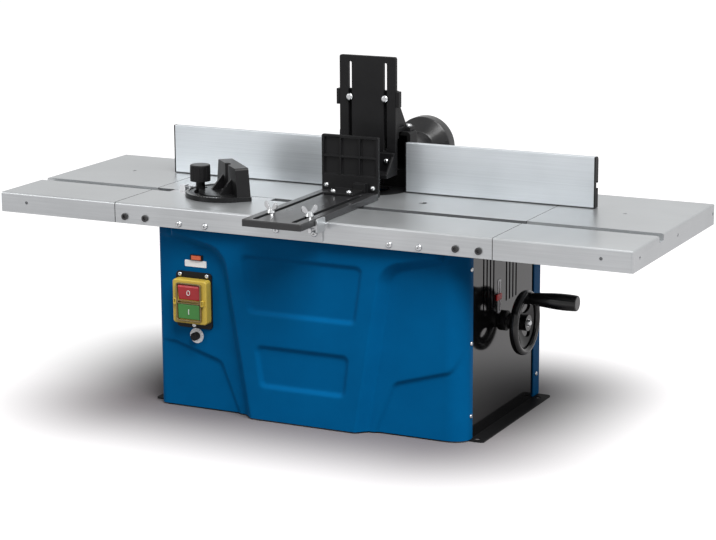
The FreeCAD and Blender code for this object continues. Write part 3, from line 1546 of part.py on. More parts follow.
pieces = {
    "front_cover": front_cover(),
    "rear_cover": rear_cover(),
    "left_side_panel": side_panel(-1),
    "right_side_panel": side_panel(1),
    "main_table": main_table(),
    "left_extension_table": extension_table(-1),
    "right_extension_table": extension_table(1),
    "insert_ring": insert_ring(),
    "joint_screws": Part.makeCompound(joint_screws()),
    "skirt_screws": Part.makeCompound(skirt_screws()),
    "cover_screws": Part.makeCompound(cover_screws()),
    "height_scale": height_scale(),
    "switch_plate": switch_plate(),
    "switch_box": switch_box(),
    "switch_screws": Part.makeCompound(switch_screws()),
    "stop_button": push_button(button_offset, stop_tilt),
    "start_button": push_button(-button_offset, start_tilt),
    "reset_button": reset_button(),
    "label_plate": label_plate(),
    "dial_ring": dial_ring(),
    "speed_knob": speed_knob(),
    "fence_hood": fence_hood(),
    "dust_port": dust_port(),
    "fence_bolts": Part.makeCompound(fence_bolts()),
    "left_fence": fence(left_fence_start),
    "right_fence": fence(right_fence_start),
    "left_fence_caps": Part.makeCompound(fence_caps(left_fence_start)),
    "right_fence_caps": Part.makeCompound(fence_caps(right_fence_start)),
    "left_fence_knob": fence_knob(-1),
    "right_fence_knob": fence_knob(1),
    "guard_support": guard_support(),
    "guard_screws": Part.makeCompound(guard_screws()),
    "guard_plate": guard_plate(),
    "guard_shoe": guard_shoe(),
    "guard_shoe_screws": Part.makeCompound(guard_shoe_screws()),
    "arm_bracket": arm_bracket(),
    "press_arm": press_arm(),
    "press_shoe": press_shoe(),
    "shoe_screws": Part.makeCompound(shoe_screws()),
    "left_wing_screw": wing_screw(-1, wing_turns_deg[0]),
    "right_wing_screw": wing_screw(1, wing_turns_deg[1]),
    "mitre_bar": mitre_bar(),
    "mitre_head": mitre_head(),
    "mitre_knob": mitre_knob(),
    "handwheel": handwheel(),
    "wheel_screws": Part.makeCompound(wheel_screws()),
    "crank_grip": crank_grip(),
    "wheel_shaft": wheel_shaft(),
    "shaft_bush": shaft_bush(),
    "lead_screw": lead_screw(),
    "lift_frame": lift_frame(),
    "carriage": carriage(),
    "motor_housing": motor_housing(),
    "height_pointer": height_pointer(),
    "spindle_shaft": spindle_shaft(),
    "collet_nut": collet_nut(),
    "cable_gland": cable_gland(),
}

for name, shape in pieces.items():
    save(name, shape)
    print(name, "valid" if shape.isValid() else "NOT VALID", len(shape.Solids), "solids", round(shape.Volume))
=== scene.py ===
import bpy, bmesh, json, math
import numpy as np
from mathutils import Matrix, Vector
from mathutils.bvhtree import BVHTree


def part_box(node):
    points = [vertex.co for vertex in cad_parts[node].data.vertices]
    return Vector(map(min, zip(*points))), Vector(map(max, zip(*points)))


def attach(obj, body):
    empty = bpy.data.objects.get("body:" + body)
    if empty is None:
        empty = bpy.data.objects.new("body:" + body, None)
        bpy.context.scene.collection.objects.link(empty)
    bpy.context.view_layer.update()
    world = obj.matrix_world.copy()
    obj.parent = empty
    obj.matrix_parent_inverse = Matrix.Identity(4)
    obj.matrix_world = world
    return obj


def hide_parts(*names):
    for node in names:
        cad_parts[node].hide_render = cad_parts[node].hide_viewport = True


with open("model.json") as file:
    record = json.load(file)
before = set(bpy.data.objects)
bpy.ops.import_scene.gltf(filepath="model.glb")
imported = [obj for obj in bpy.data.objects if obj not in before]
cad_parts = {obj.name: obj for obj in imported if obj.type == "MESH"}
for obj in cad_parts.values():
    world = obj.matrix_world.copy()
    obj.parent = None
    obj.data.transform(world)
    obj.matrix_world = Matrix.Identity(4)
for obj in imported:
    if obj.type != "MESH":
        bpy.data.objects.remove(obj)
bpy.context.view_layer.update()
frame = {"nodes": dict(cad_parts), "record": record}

scene = bpy.context.scene
scene.view_settings.view_transform = 'Standard'
nodes = frame["nodes"]
bodyOf = {n: b for b, names in frame["record"]["behaviour"]["bodies"].items() for n in names}
slotOf = {s["node"]: s["material_slot"] for s in frame["record"]["subparts"]}
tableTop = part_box("main_table")[1].z
print("frame loaded:", len(nodes), "nodes, table top at", round(tableTop, 4))


def linkNew(name, data):
    obj = bpy.data.objects.new(name, data)
    scene.collection.objects.link(obj)
    return obj


# camera as in the photo, its eye measured from the middle of the table top
photo = {"width": 716, "focalPixels": 2240.755, "azimuth": 26.172, "elevation": 12.932, "roll": -0.295,
         "eye": (1.4699, -2.9693, 0.6485), "sensor": 36, "farthest": 50}


def addCamera(cfg):
    az, el, roll = (math.radians(cfg[k]) for k in ("azimuth", "elevation", "roll"))
    back = Vector((math.sin(az) * math.cos(el), -math.cos(az) * math.cos(el), math.sin(el)))
    right = Vector((math.cos(az), math.sin(az), 0))
    up = back.cross(right)
    sideways = right * math.cos(roll) + up * math.sin(roll)
    upright = up * math.cos(roll) - right * math.sin(roll)
    cam = bpy.data.cameras.new("photoCamera")
    cam.sensor_fit = 'HORIZONTAL'
    cam.sensor_width = cfg["sensor"]
    cam.lens = cfg["focalPixels"] / cfg["width"] * cfg["sensor"]
    cam.clip_end = cfg["farthest"]
    obj = linkNew("photoCamera", cam)
    turn = Matrix((sideways, upright, back)).transposed().to_4x4()
    obj.matrix_world = Matrix.Translation(Vector(cfg["eye"]) + Vector((0, 0, tableTop))) @ turn
    scene.camera = obj


addCamera(photo)
print("camera set")


# small helpers for node trees
noiseSpan = (0.3, 0.7)  # nearly all of a noise lies in here
productSpan = (0.12, 0.42)  # and of two noises multiplied
mixSockets = {"factor": 0, "first": 6, "second": 7, "colour": 2}


def wire(tree, source, target):
    tree.links.new(source, target)


def addNode(tree, kind, inputs=None, **settings):
    node = tree.nodes.new(kind)
    for key, value in settings.items():
        setattr(node, key, value)
    for key, value in (inputs or {}).items():
        if isinstance(value, bpy.types.NodeSocket):
            wire(tree, value, node.inputs[key])
        else:
            node.inputs[key].default_value = value
    return node


def maths(tree, operation, *values):
    return addNode(tree, 'ShaderNodeMath', dict(enumerate(values)), operation=operation).outputs[0]


def vectorMaths(tree, operation, *values):
    node = addNode(tree, 'ShaderNodeVectorMath', dict(enumerate(values)), operation=operation)
    return node.outputs["Value" if operation == 'LENGTH' else "Vector"]


def remap(tree, value, span, ends=(0, 1), kind='LINEAR'):
    inputs = {"Value": value, "From Min": span[0], "From Max": span[1], "To Min": ends[0], "To Max": ends[1]}
    node = addNode(tree, 'ShaderNodeMapRange', inputs, interpolation_type=kind)
    return node.outputs["Result"]


def mixColour(tree, factor, first, second):
    node = addNode(tree, 'ShaderNodeMix', {mixSockets["factor"]: factor}, data_type='RGBA')
    for key, value in (("first", first), ("second", second)):
        socket = node.inputs[mixSockets[key]]
        if isinstance(value, bpy.types.NodeSocket):
            wire(tree, value, socket)
        else:
            socket.default_value = (*value, 1)
    return node.outputs[mixSockets["colour"]]


# two shared effects: brushed lines with soft patches, and the grain of a mould with soft clouds
brushing = {"detail": 5.0, "roughness": 0.62, "patchScale": 7.0, "patchDetail": 3.0, "patchShare": 0.55,
            "bump": 0.25, "depth": 0.00002}
graining = {"detail": 2.0, "cloudScale": 18.0, "cloudDetail": 4.0, "cloudRoughness": 0.6}


def shaderGroup(name, inputs, outputs):
    group = bpy.data.node_groups.new(name, 'ShaderNodeTree')
    for label, kind in inputs.items():
        group.interface.new_socket(label, in_out='INPUT', socket_type=kind)
    for label in outputs:
        group.interface.new_socket(label, in_out='OUTPUT', socket_type='NodeSocketFloat')
    return group, group.nodes.new('NodeGroupInput'), group.nodes.new('NodeGroupOutput')


def makeBrushedLines(cfg):
    inputs = {"Stretch": 'NodeSocketVector', "Fine": 'NodeSocketFloat'}
    group, given, out = shaderGroup("brushedLines", inputs, ("Line", "Patch"))
    place = addNode(group, 'ShaderNodeTexCoord').outputs["Object"]
    mapped = addNode(group, 'ShaderNodeMapping', {"Vector": place, "Scale": given.outputs["Stretch"]})
    lines = addNode(group, 'ShaderNodeTexNoise', {"Vector": mapped.outputs["Vector"],
                                                  "Scale": given.outputs["Fine"],
                                                  "Detail": cfg["detail"], "Roughness": cfg["roughness"]})
    patch = addNode(group, 'ShaderNodeTexNoise', {"Vector": place, "Scale": cfg["patchScale"],
                                                  "Detail": cfg["patchDetail"]})
    wire(group, lines.outputs["Fac"], out.inputs["Line"])
    wire(group, patch.outputs["Fac"], out.inputs["Patch"])
    return group


def makeMouldGrain(cfg):
    group, given, out = shaderGroup("mouldGrain", {"Size": 'NodeSocketFloat'}, ("Grain", "Cloud"))
    place = addNode(group, 'ShaderNodeTexCoord').outputs["Object"]
    grain = addNode(group, 'ShaderNodeTexNoise', {"Vector": place, "Scale": given.outputs["Size"],
                                                  "Detail": cfg["detail"]})
    cloud = addNode(group, 'ShaderNodeTexNoise', {"Vector": place, "Scale": cfg["cloudScale"],
                                                  "Detail": cfg["cloudDetail"],
                                                  "Roughness": cfg["cloudRoughness"]})
    wire(group, grain.outputs["Fac"], out.inputs["Grain"])
    wire(group, cloud.outputs["Fac"], out.inputs["Cloud"])
    return group


brushedLines = makeBrushedLines(brushing)
mouldGrain = makeMouldGrain(graining)


def startMaterial(name, metallic, specular=0.5):
    mat = bpy.data.materials.new(name)
    mat.use_nodes = True
    tree = mat.node_tree
    bsdf = tree.nodes["Principled BSDF"]
    bsdf.inputs["Metallic"].default_value = metallic
    bsdf.inputs["Specular IOR Level"].default_value = specular
    return mat, tree, bsdf


def addBump(tree, bsdf, height, strength, depth):
    bump = addNode(tree, 'ShaderNodeBump', {"Height": height, "Strength": strength, "Distance": depth})
    wire(tree, bump.outputs["Normal"], bsdf.inputs["Normal"])


def brushedMetal(name, dark, light, rough, metallic, stretch, fine=3.0):
    mat, tree, bsdf = startMaterial(name, metallic)
    lines = addNode(tree, 'ShaderNodeGroup', {"Stretch": stretch, "Fine": fine}, node_tree=brushedLines)
    line, patch = lines.outputs["Line"], lines.outputs["Patch"]
    streaks = maths(tree, 'MULTIPLY', remap(tree, line, noiseSpan), 1 - brushing["patchShare"])
    tone = maths(tree, 'MULTIPLY_ADD', remap(tree, patch, noiseSpan), brushing["patchShare"], streaks)
    wire(tree, mixColour(tree, tone, dark, light), bsdf.inputs["Base Color"])
    blend = maths(tree, 'MULTIPLY', line, patch)
    wire(tree, remap(tree, blend, productSpan, rough), bsdf.inputs["Roughness"])
    addBump(tree, bsdf, line, brushing["bump"], brushing["depth"])
    return mat


def moulded(name, dark, light, rough, grain, metallic=0.0, specular=0.5):
    mat, tree, bsdf = startMaterial(name, metallic, specular)
    size, strength, depth = grain
    mould = addNode(tree, 'ShaderNodeGroup', {"Size": size}, node_tree=mouldGrain)
    cloud = mould.outputs["Cloud"]
    wire(tree, mixColour(tree, remap(tree, cloud, noiseSpan), dark, light), bsdf.inputs["Base Color"])
    wire(tree, remap(tree, cloud, noiseSpan, rough), bsdf.inputs["Roughness"])
    addBump(tree, bsdf, mould.outputs["Grain"], strength, depth)
    return mat


finishes = {
    "blue_paint": moulded("bluePowderCoat", (0.0, 0.089, 0.242), (0.0, 0.100, 0.268),
                          rough=(0.42, 0.50), grain=(700, 0.08, 0.00006), specular=0.03),
    "black_panel": moulded("blackEnamel", (0.006, 0.006, 0.0065), (0.008, 0.008, 0.0085),
                           rough=(0.07, 0.11), grain=(500, 0.03, 0.00003), specular=0.38),
    "table_steel": brushedMetal("zincTable", (0.385, 0.40, 0.41), (0.515, 0.53, 0.54),
                                rough=(0.30, 0.40), metallic=0.78, stretch=(3, 210, 210)),
    "fence_aluminium": brushedMetal("brushedFence", (0.51, 0.545, 0.57), (0.67, 0.705, 0.735),
                                    rough=(0.30, 0.38), metallic=0.78, stretch=(2, 320, 320)),
    "bright_steel": brushedMetal("brightZinc", (0.46, 0.47, 0.48), (0.56, 0.57, 0.58),
                                 rough=(0.20, 0.27), metallic=1.0, stretch=(40, 40, 40), fine=6.0),
    "turned_steel": brushedMetal("turnedSteel", (0.42, 0.42, 0.43), (0.58, 0.58, 0.59),
                                 rough=(0.24, 0.38), metallic=1.0, stretch=(160, 160, 4)),
    "black_steel": moulded("blackOxide", (0.030, 0.030, 0.031), (0.042, 0.042, 0.043),
                           rough=(0.22, 0.32), grain=(900, 0.12, 0.00004), metallic=0.3),
    "black_plastic": moulded("blackMould", (0.0055, 0.0055, 0.006), (0.0085, 0.0085, 0.009),
                             rough=(0.42, 0.52), grain=(1100, 0.22, 0.00008), specular=0.16),
    "wheel_plastic": moulded("wheelBlack", (0.005, 0.005, 0.0055), (0.008, 0.008, 0.0085),
                             rough=(0.12, 0.20), grain=(700, 0.05, 0.00005), specular=0.42),
    "cast_alloy": moulded("castAlloy", (0.40, 0.41, 0.42), (0.50, 0.51, 0.52),
                          rough=(0.42, 0.55), grain=(600, 0.35, 0.0002), metallic=0.9),
    "switch_yellow": moulded("switchYellow", (0.52, 0.37, 0.050), (0.57, 0.41, 0.062),
                             rough=(0.26, 0.34), grain=(800, 0.08, 0.00005), specular=0.4),
    "stop_red": moulded("stopRed", (0.40, 0.016, 0.022), (0.46, 0.022, 0.028),
                        rough=(0.20, 0.28), grain=(800, 0.06, 0.00004), specular=0.4),
    "start_green": moulded("startGreen", (0.040, 0.20, 0.034), (0.054, 0.24, 0.046),
                           rough=(0.20, 0.28), grain=(800, 0.06, 0.00004), specular=0.4),
    "reset_orange": moulded("resetOrange", (0.72, 0.13, 0.05), (0.80, 0.17, 0.07),
                            rough=(0.20, 0.28), grain=(800, 0.06, 0.00004), specular=0.4),
    "label_white": moulded("labelWhite", (0.86, 0.88, 0.90), (0.91, 0.93, 0.94),
                           rough=(0.30, 0.40), grain=(900, 0.05, 0.00004)),
    "pointer_red": moulded("pointerRed", (0.60, 0.012, 0.015), (0.68, 0.02, 0.02),
                           rough=(0.28, 0.36), grain=(900, 0.05, 0.00004)),
}
extras = {
    "matteBlack": moulded("matteBlack", (0.005, 0.005, 0.005), (0.008, 0.008, 0.008),
                          rough=(0.85, 0.95), grain=(900, 0.1, 0.00005), specular=0.0),
    "footBlack": moulded("footBlack", (0.008, 0.008, 0.0085), (0.010, 0.010, 0.0105),
                         rough=(0.5, 0.6), grain=(700, 0.10, 0.00005), specular=0.02),
    "satinBlack": moulded("satinBlack", (0.012, 0.012, 0.013), (0.017, 0.017, 0.018),
                          rough=(0.26, 0.34), grain=(900, 0.10, 0.00005)),
    "glossBlack": moulded("glossBlack", (0.008, 0.008, 0.0085), (0.012, 0.012, 0.0125),
                          rough=(0.20, 0.28), grain=(900, 0.12, 0.00005), specular=0.40),
    "mitreBlack": moulded("mitreBlack", (0.007, 0.007, 0.0075), (0.010, 0.010, 0.0105),
                          rough=(0.26, 0.34), grain=(1000, 0.18, 0.00006), specular=0.16),
    "grooveSteel": brushedMetal("grooveSteel", (0.09, 0.095, 0.10), (0.13, 0.135, 0.14),
                                rough=(0.4, 0.5), metallic=0.5, stretch=(3, 210, 210)),
    "smokedClear": moulded("smokedClear", (0.16, 0.11, 0.035), (0.20, 0.14, 0.045),
                           rough=(0.12, 0.20), grain=(700, 0.03, 0.00003)),
    "markWhite": moulded("markWhite", (0.74, 0.74, 0.73), (0.80, 0.80, 0.79),
                         rough=(0.45, 0.55), grain=(900, 0.04, 0.00003), specular=0.2),
    "markBlack": moulded("markBlack", (0.012, 0.012, 0.012), (0.02, 0.02, 0.02),
                         rough=(0.45, 0.55), grain=(900, 0.04, 0.00003), specular=0.2),
}
print("finishes:", len(finishes) + len(extras))


# a painted shadow: the fences' colour darkens to a dark line where they meet the table, standing in for the
# shade in that corner
fenceFootShadow = {"rise": 0.0012, "height": 0.0016, "colour": (0.03, 0.032, 0.034)}


def paintFenceFootShadow(mat, cfg):
    tree = mat.node_tree
    colour = tree.nodes["Principled BSDF"].inputs["Base Color"]
    clean = colour.links[0].from_socket
    place = addNode(tree, 'ShaderNodeTexCoord').outputs["Object"]
    level = addNode(tree, 'ShaderNodeSeparateXYZ', {"Vector": place}).outputs["Z"]
    base = tableTop + cfg["rise"]
    shade = remap(tree, level, (base, base + cfg["height"]), kind='SMOOTHSTEP')
    wire(tree, mixColour(tree, shade, cfg["colour"], clean), colour)


paintFenceFootShadow(finishes["fence_aluminium"], fenceFootShadow)

for name, obj in nodes.items():
    obj.data.materials.clear()
    obj.data.materials.append(finishes[slotOf[name]])


# softened copies of the CAD pieces: merged, bevelled along their sharp edges, smooth across their round faces
merging = {"dist": 0.00002, "flat": 0.6}


def joinShape(mesh, name, body, slot, material=None):
    obj = linkNew(name, mesh)
    mesh.materials.clear()
    mesh.materials.append(material or finishes[slot])
    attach(obj, body)
    return obj


def replaceNode(mesh, name, node, material=None):
    piece = joinShape(mesh, name, bodyOf[node], slotOf[node], material)
    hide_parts(node)
    return piece


def mergedCopy(node):
    bm = bmesh.new()
    bm.from_mesh(nodes[node].data)
    bmesh.ops.remove_doubles(bm, verts=bm.verts, dist=merging["dist"])
    bmesh.ops.dissolve_limit(bm, angle_limit=math.radians(merging["flat"]), verts=bm.verts, edges=bm.edges)
    return bm


def meshFrom(bm, name, smooth=True):
    mesh = bpy.data.meshes.new(name)
    bm.to_mesh(mesh)
    bm.free()
    if smooth:
        mesh.shade_smooth()
    return mesh


def plainMesh(obj):
    depth = bpy.context.evaluated_depsgraph_get()
    mesh = bpy.data.meshes.new_from_object(obj.evaluated_get(depth))
    bpy.data.objects.remove(obj)
    return mesh


def keepSharp(mesh, angle):
    mesh.set_sharp_from_angle(angle=math.radians(angle))


def finishEdges(bm, name, width, segments=2, angle=32):
    temp = linkNew("softTemp", meshFrom(bm, name))
    bevel = temp.modifiers.new("edge", 'BEVEL')
    bevel.width = width
    bevel.segments = segments
    bevel.limit_method = 'ANGLE'
    bevel.angle_limit = math.radians(angle)
    flat = temp.modifiers.new("flatFaces", 'WEIGHTED_NORMAL')
    flat.keep_sharp = True
    return plainMesh(temp)


ownFinish = {"press_arm": extras["satinBlack"], "mitre_head": extras["mitreBlack"],
             "mitre_knob": extras["mitreBlack"], "dust_port": extras["glossBlack"],
             "arm_bracket": finishes["table_steel"]}


def soften(node, width):
    mesh = finishEdges(mergedCopy(node), node + "Soft", width)
    return replaceNode(mesh, node + "Piece", node, ownFinish.get(node))


softEdges = {"main_table": 0.0004, "left_extension_table": 0.0004, "right_extension_table": 0.0004,
             "left_fence": 0.0004, "right_fence": 0.0004, "fence_hood": 0.0012, "dust_port": 0.0012,
             "guard_plate": 0.0008, "guard_support": 0.0010, "guard_shoe": 0.0010, "press_arm": 0.0008,
             "press_shoe": 0.0008, "mitre_head": 0.0010, "mitre_knob": 0.0005, "handwheel": 0.0010,
             "switch_box": 0.0006, "switch_plate": 0.0006, "stop_button": 0.0005,
             "start_button": 0.0005, "reset_button": 0.0003, "speed_knob": 0.0003, "arm_bracket": 0.0005,
             "left_wing_screw": 0.0006, "right_wing_screw": 0.0006, "shaft_bush": 0.0006,
             "cable_gland": 0.0006, "left_fence_knob": 0.0010, "right_fence_knob": 0.0010,
             "rear_cover": 0.0005, "left_side_panel": 0.0004, "right_side_panel": 0.0004,
             "mitre_bar": 0.0005, "collet_nut": 0.0005,
             "left_fence_caps": 0.0003, "right_fence_caps": 0.0003, "guard_screws": 0.0003}
softPieces = {name: soften(name, width) for name, width in softEdges.items()}
print("softened pieces:", len(softPieces))


# the front cover is pressed from sheet: its form is probed from the CAD piece, softened as a press leaves it,
# faded into the two bent corners and laid on a grid along the plan
coverPress = {"cell": 0.0022, "probe": 0.001, "probeFrom": 0.05, "soft": 0.0009, "sheet": 0.002,
              "facetY": -0.149, "cornerStart": 0.240, "bendLeft": (0.010, 0.010), "bendRight": (0.030, 0.022),
              "bendSteps": 14, "flangeSteps": 2, "fadeFrom": 0.222, "sweep": 0.05, "slack": 0.0003,
              "sharp": 45}


def blurRows(field, sigma, spread=3):
    reach = int(spread * sigma) + 1
    weights = np.exp(-0.5 * (np.arange(-reach, reach + 1) / sigma) ** 2)
    weights /= weights.sum()
    padded = np.pad(field, ((reach, reach), (0, 0)), mode='edge')
    return sum(w * padded[i:i + len(field)] for i, w in enumerate(weights))


def probeRise(cfg, low, high):
    bm = mergedCopy("front_cover")
    tree = BVHTree.FromBMesh(bm)
    bm.free()
    half = cfg["probe"] / 2
    xs = np.arange(-cfg["cornerStart"], cfg["cornerStart"] + half, cfg["probe"])
    zs = np.linspace(low.z + half, high.z - half, int((high.z - low.z) / cfg["probe"]))
    rise = np.zeros((len(zs), len(xs)))
    ahead = Vector((0, 1, 0))
    for j, z in enumerate(zs):
        hits = [tree.ray_cast(Vector((x, low.y - cfg["probeFrom"], z)), ahead)[0] for x in xs]
        row = np.array([np.nan if hit is None else cfg["facetY"] - hit.y for hit in hits])
        known = ~np.isnan(row)
        rise[j] = np.interp(xs, xs[known], row[known])
    sigma = cfg["soft"] / cfg["probe"]
    return xs, zs, blurRows(blurRows(rise, sigma).T, sigma).T


# an even line of cells that gives way to the extra places asked for
def gridLine(first, last, cell, extra, near=3):
    line = np.linspace(first, last, int(round((last - first) / cell)) + 1)
    line = [v for v in line if v in (first, last) or min(abs(v - e) for e in extra) > cell / near]
    return np.array(sorted(line + list(extra)))


# place and outward direction along the cover's plan
def coverPlan(cfg, high, across):
    path = [(x, cfg["facetY"], 0, -1) for x in across]
    for side, (bendX, bendY) in ((-1, cfg["bendLeft"]), (1, cfg["bendRight"])):
        turnY = cfg["facetY"] + bendY
        wing = []
        for i in range(1, cfg["bendSteps"] + 1):
            angle = math.pi / 2 * i / cfg["bendSteps"]
            out = Vector((side * math.sin(angle) / bendX, -math.cos(angle) / bendY)).normalized()
            x = side * (high.x - bendX + bendX * math.sin(angle))
            wing.append((x, turnY - bendY * math.cos(angle), out.x, out.y))
        for i in range(1, cfg["flangeSteps"] + 1):
            wing.append((side * high.x, turnY + (high.y - turnY) * i / cfg["flangeSteps"], side, 0))
        path = path + wing if side > 0 else wing[::-1] + path
    return path


def fadedRise(cfg, high, plan, upward, probed):
    xs, zs, rise = probed
    fade = np.clip((np.abs(plan) - cfg["fadeFrom"]) / (high.x - cfg["fadeFrom"]), 0, 1)
    keep = 1 - fade * fade * (3 - 2 * fade)
    reach = np.clip(plan, -cfg["fadeFrom"], cfg["fadeFrom"])
    rows = np.array([np.interp(reach, xs, row) * keep for row in rise])
    lift = cfg["sweep"] * np.where(plan > 0, fade, 0) ** 2  # the right-hand crease turns up at the corner
    return np.array([np.interp(upward - up, zs, column) for up, column in zip(lift, rows.T)]).T


def pressedCover(cfg):
    low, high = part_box("front_cover")
    slotLow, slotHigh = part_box("reset_button")
    slack = Vector((cfg["slack"],) * 3)
    slotLow, slotHigh = slotLow - slack, slotHigh + slack
    across = gridLine(low.x + cfg["bendLeft"][0], high.x - cfg["bendRight"][0], cfg["cell"],
                      (slotLow.x, slotHigh.x))
    upward = gridLine(low.z, high.z, cfg["cell"], (slotLow.z, slotHigh.z))
    path = coverPlan(cfg, high, across)
    plan = np.array([spot[0] for spot in path])
    verts, faces = [], []
    for z, row in zip(upward, fadedRise(cfg, high, plan, upward, probeRise(cfg, low, high))):
        verts += [(x + outX * r, y + outY * r, z) for (x, y, outX, outY), r in zip(path, row)]
    width = len(path)
    for j in range(len(upward) - 1):
        for i in range(width - 1):
            a = j * width + i
            middle = (Vector(verts[a]) + Vector(verts[a + width + 1])) / 2
            if not (slotLow.x < middle.x < slotHigh.x and slotLow.z < middle.z < slotHigh.z):
                faces.append((a, a + 1, a + width + 1, a + width))
    mesh = bpy.data.meshes.new("frontCoverPressed")
    mesh.from_pydata(verts, [], faces)
    mesh.shade_smooth()
    temp = linkNew("coverTemp", mesh)
    wall = temp.modifiers.new("sheet", 'SOLIDIFY')
    wall.thickness = cfg["sheet"]
    wall.offset = -1
    pressed = plainMesh(temp)
    keepSharp(pressed, cfg["sharp"])
    replaceNode(pressed, "frontCoverPiece", "front_cover")
    return len(pressed.polygons)


print("front cover faces:", pressedCover(coverPress))


# a second finish inside the hood and port, darker in the groove of the main table and on the feet, and
# painted shade in the seams between the tables
def secondFinish(node, material, test):
    mesh = softPieces[node].data
    mesh.materials.append(material)
    index = len(mesh.materials) - 1
    for poly in mesh.polygons:
        if test(poly.center, poly.normal):
            poly.material_index = index


portBore = {"x": 0.028, "rise": 0.049, "core": 0.001, "inward": -0.3}
hoodInside = {"halfX": 0.0545, "back": 0.1065, "roof": 0.005, "facing": 0.9}
seamShade = {"inner": 0.3045, "outer": 0.3070, "facing": 0.9}
groove = {"depth": 0.012, "skin": 0.0003, "reach": 0.165, "facing": 0.9}
feet = {"level": 0.0035, "facing": 0.5}
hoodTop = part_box("fence_hood")[1].z


def insidePort(middle, normal):
    out = Vector((middle.x - portBore["x"], 0, middle.z - tableTop - portBore["rise"]))
    return out.length > portBore["core"] and normal.dot(out.normalized()) < portBore["inward"]


def insideHood(middle, normal):
    under = abs(middle.x) < hoodInside["halfX"] and middle.z < hoodTop - hoodInside["roof"]
    return under and middle.y < hoodInside["back"] and normal.y < hoodInside["facing"]


def inSeamShade(middle, normal):
    return abs(normal.x) > seamShade["facing"] and seamShade["inner"] < abs(middle.x) < seamShade["outer"]


def inGroove(middle, normal):
    sunk = tableTop - groove["depth"] < middle.z < tableTop - groove["skin"]
    return sunk and abs(normal.y) > groove["facing"] and abs(middle.y) < groove["reach"]


def onFoot(middle, normal):
    return middle.z < feet["level"] and normal.z > feet["facing"]


secondFinish("dust_port", extras["matteBlack"], insidePort)
secondFinish("fence_hood", extras["matteBlack"], insideHood)
# painted shade: the end faces in the seams between the tables are made matte black, where the narrow gap lies
# in shade
for tableNode in ("main_table", "left_extension_table", "right_extension_table"):
    secondFinish(tableNode, extras["matteBlack"], inSeamShade)
secondFinish("main_table", extras["grooveSteel"], inGroove)
for panelNode in ("left_side_panel", "right_side_panel"):
    secondFinish(panelNode, extras["footBlack"], onFoot)
print("second finishes set")


# repeated shapes: one template set on points that carry their own directions and size
def pointCloud(name, places):
    mesh = bpy.data.meshes.new(name)
    mesh.from_pydata([p["at"] for p in places], [], [])
    for key in ("up", "along", "size"):
        layer = mesh.attributes.new(key, 'FLOAT_VECTOR', 'POINT')
        layer.data.foreach_set("vector", [c for p in places for c in p[key]])
    return linkNew(name, mesh)


def namedVector(tree, name):
    node = addNode(tree, 'GeometryNodeInputNamedAttribute', {"Name": name}, data_type='FLOAT_VECTOR')
    return next(s for s in node.outputs if s.enabled and s.name == "Attribute")


def startTree(name, **inputs):
    tree = bpy.data.node_groups.new(name, 'GeometryNodeTree')
    tree.is_modifier = True
    ids = {}
    for label, kind in inputs.items():
        socket = tree.interface.new_socket(label, in_out='INPUT', socket_type='NodeSocket' + kind)
        ids[label] = socket.identifier
    tree.interface.new_socket("Geometry", in_out='OUTPUT', socket_type='NodeSocketGeometry')
    return tree, ids, tree.nodes.new('NodeGroupInput')


def endTree(tree, geometry, finish):
    paint = addNode(tree, 'GeometryNodeSetMaterial', {"Geometry": geometry, "Material": finish})
    wire(tree, paint.outputs["Geometry"], tree.nodes.new('NodeGroupOutput').inputs["Geometry"])


def runTree(obj, treeAndIds, **values):
    tree, ids = treeAndIds
    mod = obj.modifiers.new(tree.name, 'NODES')
    mod.node_group = tree
    for label, value in values.items():
        mod[ids[label]] = value
    return plainMesh(obj)


def setOnPoints(tree, points, template):
    turn = addNode(tree, 'FunctionNodeAxesToRotation', {"Primary Axis": namedVector(tree, "up"),
                                                        "Secondary Axis": namedVector(tree, "along")},
                   primary_axis='Z', secondary_axis='X')
    shape = addNode(tree, 'GeometryNodeObjectInfo', {"Object": template})
    cloud = addNode(tree, 'GeometryNodeMeshToPoints', {"Mesh": points})
    placed = addNode(tree, 'GeometryNodeInstanceOnPoints', {"Points": cloud.outputs["Points"],
                                                            "Instance": shape.outputs["Geometry"],
                                                            "Rotation": turn.outputs["Rotation"],
                                                            "Scale": namedVector(tree, "size")})
    real = addNode(tree, 'GeometryNodeRealizeInstances', {"Geometry": placed.outputs["Instances"]})
    return real.outputs["Geometry"]


def makeCopies():
    tree, ids, given = startTree("copies", Geometry="Geometry", Template="Object", Finish="Material")
    real = setOnPoints(tree, given.outputs["Geometry"], given.outputs["Template"])
    endTree(tree, real, given.outputs["Finish"])
    return tree, ids


def makeDriveRecess():
    tree, ids, given = startTree("driveRecess", Geometry="Geometry", Places="Object", Cutter="Object",
                                 Finish="Material")
    places = addNode(tree, 'GeometryNodeObjectInfo', {"Object": given.outputs["Places"]})
    real = setOnPoints(tree, places.outputs["Geometry"], given.outputs["Cutter"])
    cut = addNode(tree, 'GeometryNodeMeshBoolean', {"Mesh 1": given.outputs["Geometry"], "Mesh 2": real},
                  operation='DIFFERENCE', solver='EXACT')
    endTree(tree, cut.outputs["Mesh"], given.outputs["Finish"])
    return tree, ids


copies = makeCopies()
driveRecess = makeDriveRecess()


def setCopies(name, shape, places, finish):
    template = linkNew(shape.name, shape)
    mesh = runTree(pointCloud(name, places), copies, Template=template, Finish=finish)
    bpy.data.objects.remove(template)
    return mesh


def prism(name, outline, low, high, taper=1.0):
    bm = bmesh.new()
    foot = [bm.verts.new((x * taper, y * taper, low)) for x, y in outline]
    head = [bm.verts.new((x, y, high)) for x, y in outline]
    bm.faces.new(foot[::-1])
    bm.faces.new(head)
    for i in range(len(outline)):
        j = (i + 1) % len(outline)
        bm.faces.new((foot[i], foot[j], head[j], head[i]))
    return meshFrom(bm, name, smooth=False)


